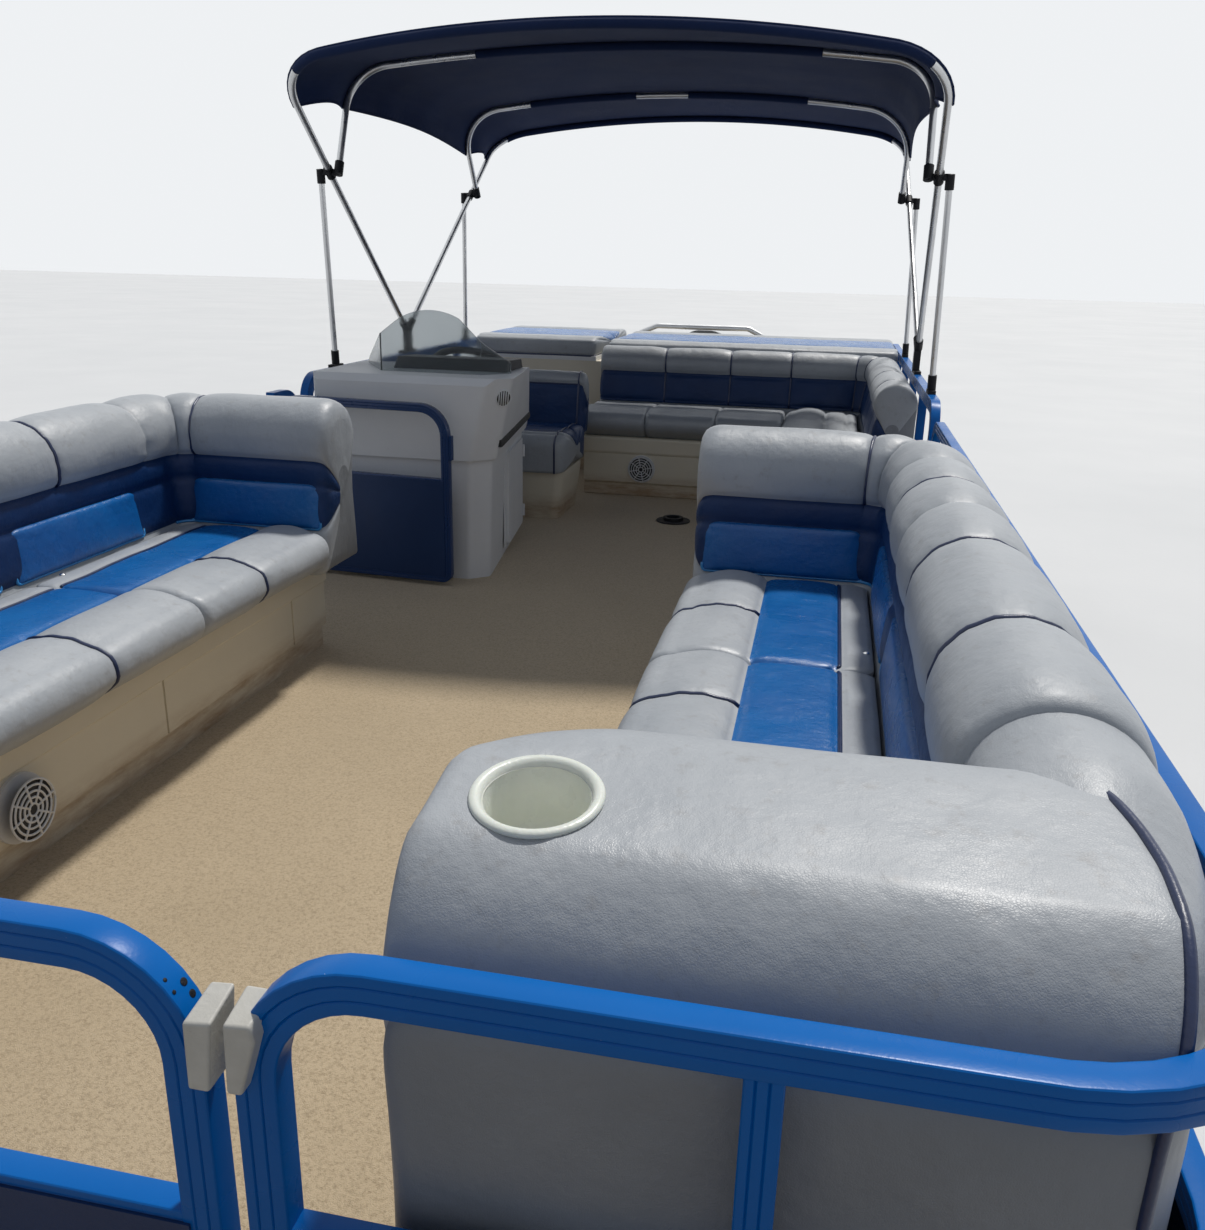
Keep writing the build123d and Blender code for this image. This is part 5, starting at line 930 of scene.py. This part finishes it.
def bow_arch(row, count=72):
    """Points along a bow's middle line from the port shoulder to the starboard one."""
    y, z, y2, z2, foot_half, shoulder_z, crown_z, radius = row
    slope = math.hypot(y2 - y, z2 - z)
    rise = (z2 - z) / slope
    half = min(foot_half, SHOULDER_X)
    v0, v1 = (shoulder_z - z) / rise, (crown_z - z) / rise
    a, h = half - radius, v1 - v0
    big = (a * a + h * h - radius * radius) / (2 * (h - radius))
    ang = math.atan2(big - h, a)
    end = (a + radius * math.cos(ang), v0 + radius * math.sin(ang))
    middle = (a + radius * math.cos(ang / 2), v0 + radius * math.sin(ang / 2))
    corner = arc((half, v0), middle, end, 24)[:-1]
    flat = corner + arc(end, (0.0, v1), (-end[0], end[1]), 60) + [(-x, v) for x, v in reversed(corner)]
    even = np.vstack((spaced(flat, count - 1), [flat[-1]]))
    up = np.array((0.0, (y2 - y) / slope, rise))
    return np.array(spot(0.0, y, z)) + even[:, :1] * np.array((1.0, 0.0, 0.0)) + even[:, 1:] * up


def canopy():
    lines = [bow_arch(row) for row in BOWS]
    rows, spans = [], []
    for a, b in zip(lines[:-1], lines[1:]):
        steps = max(6, int(np.linalg.norm(b[36] - a[36]) / 0.035))
        for i in range(steps):
            rows.append(a * (1 - i / steps) + b * (i / steps))
            spans.append(i / steps)
    grid, x = np.array(rows + [lines[3]]), np.array(spans + [0.0])
    m, n = grid.shape[:2]
    normal = np.cross(np.gradient(grid, axis=0), np.gradient(grid, axis=1))
    normal /= np.maximum(np.linalg.norm(normal, axis=2, keepdims=True), 1e-9)
    normal *= np.sign(normal[:, :, 2].sum())
    slack = 4 * x * (1 - x)
    across = np.linspace(-1, 1, n)
    sag = 0.010 * slack[:, None] * (0.4 + 0.6 * across ** 2)
    pull = 0.0035 * slack[:, None] * np.sin(np.abs(across) * 31.0 + 5.0 * x[:, None]) * across ** 8
    grid = grid + normal * (TUBE_R + CLOTH_LIFT - sag - pull)[:, :, None]
    grid -= normal * (0.0014 * wander(grid, 7.0, 91) * slack[:, None])[:, :, None]
    # The free side edges are cut back in a shallow hollow between the bows.
    for i in range(m):
        for tip, inner, way in ((0, 8, 1), (n - 1, n - 9, -1)):
            pulled = unit(grid[i, inner] - grid[i, tip]) * 0.030 * slack[i]
            for c in range(8):
                grid[i, tip + way * c] += pulled * (8 - c) / 8
    cloth = piece("canopy_cloth", (grid.reshape(-1, 3), quads(m, n, around=False)), CANVAS, "hull",
                  replaces="canopy")
    modifier = cloth.modifiers.new("thickness", "SOLIDIFY")
    modifier.thickness = 0.0016
    modifier.offset = 1.0
    hem = [grid[0] + (0, -0.001, 0.0), grid[-1], grid[:, 0], grid[:, -1]]
    covers = [[q for q in bow_arch(BOWS[row], 160) if x0 <= q[0] <= x1] for row, x0, x1 in SLEEVES]
    parts = [piece("canopy_hem", tube(hem, HEM_R), CANVAS, "hull"),
             piece("canopy_sleeves", tube(covers, TUBE_R + 0.0030, 14), CANVAS, "hull")]


# Materials and rounded edges for the CAD nodes. Columns: nodes, material, edge rounding.
FINISHES = (
    ("pontoons cross_members", HULL, 0.0), ("motor_pod", HULL, 0.004), ("deck", DECK_EDGE, 0.002),
    ("deck_covering", CARPET, 0.0), ("aft_fences", RAIL, 0.004),
    ("front_couch_bases stern_couch_base helm_chair_base", IVORY, 0.006), ("sundeck_cabinet", IVORY, 0.008),
    ("sundeck_lid", WHITE, 0.003), ("console console_door", WHITE, 0.0), ("speakers", WHITE, 0.0015),
    ("dash", BLACK, 0.006), ("helm_wheel top_hinges", BLACK, 0.0), ("throttle", BLACK, 0.002),
    ("table_socket", BLACK, 0.0015), ("windshield", SCREEN, 0.0), ("stern_arch top_bows braces", ALU, 0.0),
    ("cleats", CHROME, 0.002), ("propeller", CHROME, 0.0), ("outboard_cowl", MOTOR, 0.0),
    ("transom_bracket swivel_bracket outboard_leg", MOTOR, 0.003),
)


def soften(obj, rounding):
    bevel = obj.modifiers.new("bevel", "BEVEL")
    bevel.width = rounding
    bevel.segments = 3
    bevel.limit_method = "ANGLE"
    bevel.angle_limit = math.radians(32)
    normals = obj.modifiers.new("normals", "WEIGHTED_NORMAL")
    normals.keep_sharp = True
    normals.weight = 80


def finish_nodes():
    for names, material, rounding in FINISHES:
        for name in names.split():
            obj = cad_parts[name]
            for slot in obj.material_slots:
                slot.material = material
            if rounding:
                obj.modifiers.new("weld", "WELD").merge_threshold = 0.00002
                soften(obj, rounding)


# Fences and gates: bent tube with grooves, posts, mid rails and thin panels. A place on a fence or gate is
# (s along it, z over the deck, n off its middle plane).
BEND_R = 0.195
LOOP_R = 0.110
LOW_Z = 0.030
LOW_TOP = 0.648
MID_TOP = 0.390
MID_H = 0.032
FENCE_X0 = 0.395
TUBE_W = 0.036
TUBE_D = 0.028
POST_W = 0.029
FOOT_W = 0.050
PANEL_OUT = 0.0165
PORT_END = 3.205
STAR_END = 2.2395
BOW_POST = 0.7935
GATE_HALF = 0.371
GATE_LOW = 0.045
BOW_PIN_X = -0.3895
SIDE_PIVOT_Y = 2.985
SIDE_OPEN = math.radians(85.0)
SIDE_S0 = 0.0185
SIDE_S1 = 0.7085
SIDE_LOW = 0.015
KNUCKLES = (0.180, 0.500)
KNUCKLE_R = 0.011


def groove_profile(width, depth):
    """Section of the tube: (inwards from its outer line, off its middle plane), two fine grooves a face."""
    r, half = 0.0028, depth / 2
    points = []
    for cb, start in ((r, 180), (width - r, 90)):
        for k in range(4):
            a = math.radians(start - 30 * k)
            points.append((cb + r * math.cos(a), half - r + r * math.sin(a)))
        if start == 180:
            for g in (0.30 * width, 0.64 * width):
                points += [(g - 0.0013, half), (g, half - 0.0015), (g + 0.0013, half)]
    return points + [(b, -n) for b, n in reversed(points)]


def sweep(path, where, width, depth, closed=False):
    """A tube along rows of (place on its outer line, way to its inner side)."""
    profile = groove_profile(width, depth)
    verts = [where(s + ds * b, z + dz * b, n) for (s, z), (ds, dz) in path for b, n in profile]
    faces = quads(len(path), len(profile), closed=closed)
    return verts, faces if closed else faces + caps(len(path), len(profile))


def loop_rows(s0, s1, z0, z1, low_r, high_r, step=0.03):
    """A closed outline, dense enough along its straights to follow a bend."""
    rows = []
    corners = ((s0 + low_r, z0 + low_r, low_r, 180), (s1 - low_r, z0 + low_r, low_r, 270),
               (s1 - high_r, z1 - high_r, high_r, 0), (s0 + high_r, z1 - high_r, high_r, 90))
    for cs, cz, r, start in corners:
        turn = []
        for i in range(10):
            a = math.radians(start + 10 * i)
            turn.append(((cs + r * math.cos(a), cz + r * math.sin(a)), (-math.cos(a), -math.sin(a))))
        if rows:
            (s, z), way = rows[-1]
            (s2, z2), _ = turn[0]
            count = int(math.dist((s, z), (s2, z2)) / step)
            for w in [i / count for i in range(1, count)]:
                rows.append(((s * (1 - w) + s2 * w, z * (1 - w) + z2 * w), way))
        rows += turn
    return rows


def bar_rows(a, b, step=0.03):
    """A straight bar from a to b along its left edge; its width lies to the right."""
    gap = math.dist(a, b)
    count = max(2, int(gap / step))
    ds, dz = b[0] - a[0], b[1] - a[1]
    way = (dz / gap, -ds / gap)
    return [((a[0] + ds * i / count, a[1] + dz * i / count), way) for i in range(count + 1)]


def strip(s0, s1, z0, z1, where, n0, n1, step=0.04):
    """A thin panel between two distances off the middle plane."""
    count = max(2, int((s1 - s0) / step))
    verts = []
    for i in range(count + 1):
        s = s0 + (s1 - s0) * i / count
        verts += [where(s, z, n) for z, n in ((z0, n0), (z1, n0), (z1, n1), (z0, n1))]
    return verts, quads(count + 1, 4) + caps(count + 1, 4)


def pin(x, y, z0, z1, radius, sides=20):
    """An upright round pin or knuckle with softened ends."""
    e = 0.001
    profile = ((radius - e, z0), (radius, z0 + e), (radius, z1 - e), (radius - e, z1))
    verts = turned(profile, (x, y, 0.0), UP, (0.0, -1.0, 0.0), sides)
    return verts, quads(4, sides) + caps(4, sides)


def fence_place(side):
    """Places on a fence that runs along the bow, round the bend and aft, and how far s is ahead of the station."""
    straight = RAIL_X - BEND_R - FENCE_X0
    turn = math.pi / 2 * BEND_R

    def where(s, z, n):
        if s < straight:
            return spot(side * (FENCE_X0 + s), -n, z)
        if s < straight + turn:
            a = (s - straight) / BEND_R
            x = RAIL_X - BEND_R + (BEND_R + n) * math.sin(a)
            return spot(side * x, BEND_R - (BEND_R + n) * math.cos(a), z)
        return spot(side * (RAIL_X + n), BEND_R + s - straight - turn, z)
    return where, straight + turn - BEND_R


def gate_place(s, z, n):
    return spot(s, -n, z)


def side_gate_place(s, z, n):
    c, d = math.cos(SIDE_OPEN), math.sin(SIDE_OPEN)
    return spot(-RAIL_X + s * d - n * c, SIDE_PIVOT_Y - s * c - n * d, z)


def frame_parts(where, s0, s1, z0, posts, width, low_r, foot=True):
    """Loop, posts, mid rail and feet of one fence or gate."""
    parts = [sweep(loop_rows(s0, s1, z0, LOW_TOP, low_r, LOOP_R), where, width, TUBE_D, True)]
    for s in [post - POST_W / 2 for post in posts]:
        path = bar_rows((s, z0 + 0.010), (s, LOW_TOP - width + 0.003))
        parts.append(sweep(path, where, POST_W, TUBE_D - 0.002))
    path = bar_rows((s0 + width - 0.003, MID_TOP), (s1 - width + 0.003, MID_TOP))
    parts.append(sweep(path, where, MID_H, TUBE_D - 0.001))
    if foot:
        for s in [post - FOOT_W / 2 for post in (*posts, s0 + 0.14, s1 - 0.14)]:
            parts.append(sweep(bar_rows((s, 0.0), (s, z0 + 0.006)), where, FOOT_W, TUBE_D - 0.004))
    return parts


def fences():
    rails, panels = [], []
    for side, end in ((1, PORT_END), (-1, STAR_END)):
        where, offset = fence_place(side)
        total = end + offset
        posts = [BOW_POST - FENCE_X0]
        posts += [BEND_R + (i + 1) * (end - BEND_R) / 4 + offset for i in range(3)]
        rails += frame_parts(where, 0.0, total, LOW_Z, posts, TUBE_W, LOOP_R)
        panels.append(strip(0.030, total - 0.030, 0.052, MID_TOP - 0.010, where, TUBE_D / 2 - 0.0005, PANEL_OUT))
        panels.append(strip(3.300, 6.205, 0.038, MID_TOP - 0.008,
                            lambda s, z, n: spot(side * (RAIL_X + n), s, z), 0.0155, 0.0185))
    for z in KNUCKLES:
        low = DECK_TOP + z
        rails.append(pin(BOW_PIN_X, FENCE_Y, low, low + 0.026, KNUCKLE_R))
        rails.append(strip(BOW_PIN_X - 0.014, BOW_PIN_X - 0.004, z + 0.002, z + 0.024, gate_place, -0.004, 0.004))
    piece("front_fence_rails", join(rails), RAIL, "hull", smooth=False, turn=True,
          replaces="front_fences")
    piece("fence_panel_sheets", join(panels), PANEL, "hull", smooth=False, turn=True,
          replaces="fence_panels")


def gate_knuckles(pivot, s0, s1, where):
    parts = []
    for z in KNUCKLES:
        top = DECK_TOP + z - 0.001
        parts.append(pin(pivot[0], pivot[1], top - 0.013, top, KNUCKLE_R))
        parts.append(pin(pivot[0], pivot[1], top - 0.008, top + 0.024, 0.0048))
        parts.append(strip(s0, s1, z - 0.013, z - 0.002, where, -0.004, 0.004))
    return parts


def gates():
    half = TUBE_D / 2
    rails = frame_parts(gate_place, -GATE_HALF, GATE_HALF, GATE_LOW, [0.0], TUBE_W, LOOP_R, foot=False)
    rails += gate_knuckles((BOW_PIN_X, FENCE_Y), BOW_PIN_X + 0.004, -GATE_HALF + 0.004, gate_place)
    panel = strip(-GATE_HALF + 0.028, GATE_HALF - 0.028, GATE_LOW + 0.026, MID_TOP - 0.010, gate_place,
                  half - 0.0005, PANEL_OUT)
    side_rails = frame_parts(side_gate_place, SIDE_S0, SIDE_S1, SIDE_LOW, [], 0.030, 0.034, foot=False)
    side_rails += gate_knuckles(side_gate_place(0.0, 0.0, 0.0), 0.004, SIDE_S0 + 0.004, side_gate_place)
    side_rails.append(strip(SIDE_S1 - 0.002, SIDE_S1 + 0.010, 0.458, 0.542, side_gate_place, -0.009, 0.009,
                            0.004))
    side_panel = strip(SIDE_S0 + 0.022, SIDE_S1 - 0.022, SIDE_LOW + 0.022, MID_TOP - 0.006, side_gate_place,
                       -0.0030, half + 0.0008)
    # The side gate's frame takes the dark copy of the rail colour, which is painted shade.
    for word, parts, sheet, material in (("bow_gate", rails, panel, RAIL),
                                         ("side_gate", side_rails, side_panel, RAIL_PAINTED_SHADE)):
        piece(word + "_rails", join(parts), material, word, smooth=False, turn=True, replaces=word)
        piece(word + "_panel", sheet, PANEL, word, smooth=False)


def latch_blocks():
    """Small moulded blocks; their front and back outlines run (x, height) round them."""
    for name, body, replaced, front, back in (
        ("latch_block", "bow_gate", "bow_gate_latch",
         ((0.3640, 0.530), (0.3820, 0.530), (0.3850, 0.560), (0.3890, 0.594), (0.3650, 0.591)),
         ((0.3660, 0.534), (0.3840, 0.534), (0.3870, 0.565), (0.3910, 0.606), (0.3700, 0.604))),
        ("keeper_block", "hull", "bow_gate_keeper",
         ((0.3965, 0.532), (0.409, 0.532), (0.424, 0.584), (0.420, 0.597), (0.3985, 0.595)),
         ((0.3965, 0.536), (0.411, 0.536), (0.428, 0.588), (0.426, 0.606), (0.400, 0.606))),
    ):
        verts = [spot(x, -0.026, z) for x, z in front] + [spot(x, 0.010, z) for x, z in back]
        n = len(front)
        faces = [tuple(range(n)), tuple(range(2 * n - 1, n - 1, -1))] + quads(2, n)
        soften(piece(name, (verts, faces), LATCH, body, turn=True, replaces=replaced), 0.0028)


def cup_liner():
    """A lipped round liner: rim, wall and floor in one turned form."""
    profile = ((0.0450, 0.0006), (0.0530, 0.0006), (0.0556, 0.0022), (0.0562, 0.0042), (0.0548, 0.0060),
               (0.0518, 0.0068), (0.0492, 0.0060), (0.0470, 0.0036), (0.0456, -0.002), (0.0445, -0.020),
               (0.0428, -0.048), (0.0395, -0.058), (0.0300, -0.0615), (0.0150, -0.0625))
    sides, m = 56, len(profile)
    verts = turned(profile, CUP_AT, CUP_AXIS, (0.0, 1.0, 0.2), sides)
    obj = piece("cup_liner", (verts, quads(m, sides) + caps(m, sides)[1:]), CREAM, "hull",
                replaces="cup_holder")
    solid = obj.modifiers.new("wall", "SOLIDIFY")
    solid.thickness = 0.0012
    solid.offset = 0.0


def domes(name, rows, material, body="hull"):
    """Shallow domes with closed feet. Columns: place, axis, radius, height."""
    rings, sides = 5, 20
    angles = [math.pi / 2 * k / rings for k in range(rings)]
    parts = []
    for at, axis, radius, height in rows:
        profile = [(radius * math.cos(a), height * math.sin(a)) for a in angles]
        verts = turned(profile, at, axis, (0.31, 0.89, 0.33), sides) + [np.array(at) + unit(axis) * height]
        last, tip = (rings - 1) * sides, rings * sides
        faces = quads(rings, sides) + [(last + j, last + (j + 1) % sides, tip) for j in range(sides)]
        parts.append((verts, faces + caps(rings, sides)[:1]))
    piece(name, join(parts), material, body)


def rivets():
    """Black discs as painted shade in the open rivet holes on the bend of the gate, and rivets along the fence
    panels.
    """
    rows = []
    cx, cz = GATE_HALF - LOOP_R, LOW_TOP - LOOP_R
    for angle, y, radius in ((36, 0.005, 0.0034), (30, 0.005, 0.0034), (20, 0.006, 0.0034),
                             (42, -0.007, 0.0018), (36, -0.008, 0.0018), (22, -0.008, 0.0018)):
        c, d = math.cos(math.radians(angle)), math.sin(math.radians(angle))
        rows.append((spot(cx + LOOP_R * c, y, cz + LOOP_R * d), (c, 0.0, d), radius, 0.0004))
    # Painted shade: black discs stand in for the dark insides of the holes.
    domes("gate_hole_painted_shade", rows, BLACK, "bow_gate")
    rows = []
    for side in (-1, 1):
        for y in np.arange(0.35, 2.1 if side < 0 else 3.0, 0.28):
            for z in (0.050, MID_TOP - 0.016):
                rows.append((spot(side * (RAIL_X + 0.0163), y, z), (side, 0.0, 0.0), 0.005, 0.002))
    domes("panel_rivets", rows, ALU)


def speaker_grilles():
    """Round grilles: rings and spokes over a dark cone. Columns: name, place, facing, right."""
    for name, at, facing, right in (
        ("starboard_grille", spot(-0.612 + 0.0042, 0.940, 0.131), (1, 0, 0), (0, 1, 0)),
        ("stern_grille", spot(-0.075, 4.639 - 0.0042, 0.141), (0, -1, 0), (1, 0, 0)),
    ):
        f, r, u = np.array(facing, dtype=float), np.array(right, dtype=float), np.array(UP)
        base = np.array(at) + f * 0.0125
        lines = []
        for radius in (0.012, 0.024, 0.036, 0.048, 0.059):
            turns = np.linspace(0, math.tau, 40)
            lines.append([base + radius * (r * math.cos(a) + u * math.sin(a)) for a in turns])
        for a in circle(8):
            way = r * math.cos(a + 0.2) + u * math.sin(a + 0.2)
            lines.append([base + way * 0.010, base + way * 0.059])
        piece(name, tube(lines, 0.0024, 6), WHITE, "hull")
        domes(name + "_cone", [(base - f * 0.0035, facing, 0.058, 0.0035)], RUBBER, "hull")


def snaps():
    places = ((1, 1.450), (1, 0.950), (-1, 1.500), (-1, 1.000))
    rows = [(spot(side * 0.915, y, SEAT_BASE + 0.1215), UP, 0.0075, 0.004) for side, y in places]
    domes("seat_snaps", rows, CHROME)


def console_trim():
    """Round vent on the chamfer of the console, with a black disc behind its bars as painted shade inside it, and
    the black rub strip at its waist.
    """
    way = Vector((-0.70, 0.72, 0.0)).normalized()
    tree = mesh_tree(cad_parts["console"])
    place, facing = tree.ray_cast(Vector(spot(-0.324, 3.0780, 0.660)) - way * 0.2, way)[:2]
    face = np.array(facing if facing.dot(way) < 0 else -facing)
    level = unit(np.cross(UP, face))
    up = np.cross(face, level)
    at = np.array(place) + face * 0.0015
    turns = np.linspace(0, math.tau, 32)
    lines = [[at + 0.029 * (level * math.cos(a) + up * math.sin(a)) for a in turns]]
    for h in (-0.018, -0.009, 0.0, 0.009, 0.018):
        w = math.sqrt(0.027 ** 2 - h * h)
        lines.append([at - up * w + level * h, at + up * w + level * h])
    piece("console_vent", tube(lines, 0.0024), WHITE, "hull")
    # Painted shade: a black disc just behind the bars stands in for the dark inside of the vent.
    domes("console_vent_painted_shade", [(at - face * 0.0015, face, 0.028, 0.0008)], RUBBER, "hull")
    plan = [np.array(p) for p in ((-0.3330, 3.083), (-0.3315, 3.100), (-0.4335, 3.835))]
    profile = ((-0.006, 0.484), (0.0045, 0.484), (0.0070, 0.497), (0.0045, 0.510), (-0.006, 0.510))
    verts = []
    for k, p in enumerate(plan):
        ahead = unit(plan[min(k + 1, 2)] - plan[max(k - 1, 0)])
        verts += [spot(*(p + np.array((ahead[1], -ahead[0])) * n), z) for n, z in profile]
    piece("console_rub_strip", (verts, quads(3, 5) + caps(3, 5)), RUBBER, "hull",
          smooth=False, turn=True)


# Camera, soft studio light and a pale floor at the waterline
SUN_WAY = (-0.20, -0.50, -1.0)


def seen_rays(tree):
    """1 for camera, glossy and transmission rays."""
    path = node(tree, "LightPath", {})
    seen = path.outputs["Is Camera Ray"]
    for name in ("Is Glossy Ray", "Is Transmission Ray"):
        seen = node(tree, "Math", {0: seen, 1: path.outputs[name]}, operation="MAXIMUM").outputs[0]
    return seen


def pale_world():
    world = bpy.data.worlds.new("studio")
    bpy.context.scene.world = world
    world.use_nodes = True
    tree = world.node_tree
    light = tree.nodes["Background"]
    plug(tree, light.inputs[0], (0.80, 0.87, 1.0))
    plug(tree, light.inputs[1], 0.31)
    pale = node(tree, "Background", {0: (0.86, 0.88, 0.90), 1: 1.0})
    mix = node(tree, "MixShader", {0: seen_rays(tree), 1: light.outputs[0], 2: pale.outputs[0]})
    plug(tree, tree.nodes["World Output"].inputs[0], mix.outputs[0])


def sun():
    data = bpy.data.lights.new("key", "SUN")
    data.energy = 3.05
    data.angle = 0.10
    data.color = (1.0, 0.965, 0.91)
    add("key", data).rotation_euler = Vector(SUN_WAY).to_track_quat("-Z", "Y").to_euler()


def floor():
    """Pale where it is seen; the light that it throws back is that of dark water."""
    mesh = bpy.data.meshes.new("floor")
    mesh.from_pydata([(-60, -60, 0), (60, -60, 0), (60, 60, 0), (-60, 60, 0)], [], [(0, 1, 2, 3)])
    material = surface("pale_floor", ((0.600, 0.615, 0.630), (0.640, 0.652, 0.665)), 0.35, (0.55, 0.7),
                       (("Noise", 30.0, 0.001),))
    tree = material.node_tree
    base = tree.nodes["Principled BSDF"].inputs["Base Color"]
    plug(tree, base, blend(tree, seen_rays(tree), (0.16, 0.17, 0.18), base.links[0].from_socket))
    mesh.materials.append(material)
    obj = add("floor", mesh)
    obj.location.z = WATERLINE


COUCHES = (
    (1, PORT_Y1, "port_front", ((1.130, 0.570), (1.655,)), "front_back_cushions", "front_seat_cushions"),
    (-1, STAR_Y1, "starboard_front", ((1.100, 0.550), (1.690,)), None, None),
)
for side, y1, word, rings, back_node, seat_node in COUCHES:
    front_back(side, y1, word, back_node)
    arm = front_arm(side, word)
    if side > 0:
        carve(arm.obj, CUP_AT, CUP_AXIS, CUP_HOLE, CUP_DEPTH)
    front_seats(side, y1, word, rings, seat_node)
stern_couch()
sun_pads()
helm_chair()
canopy()
finish_nodes()
fences()
gates()
latch_blocks()
cup_liner()
rivets()
console_trim()
speaker_grilles()
snaps()
make_camera()
pale_world()
sun()
floor()
bpy.context.scene.view_settings.view_transform = "Standard"
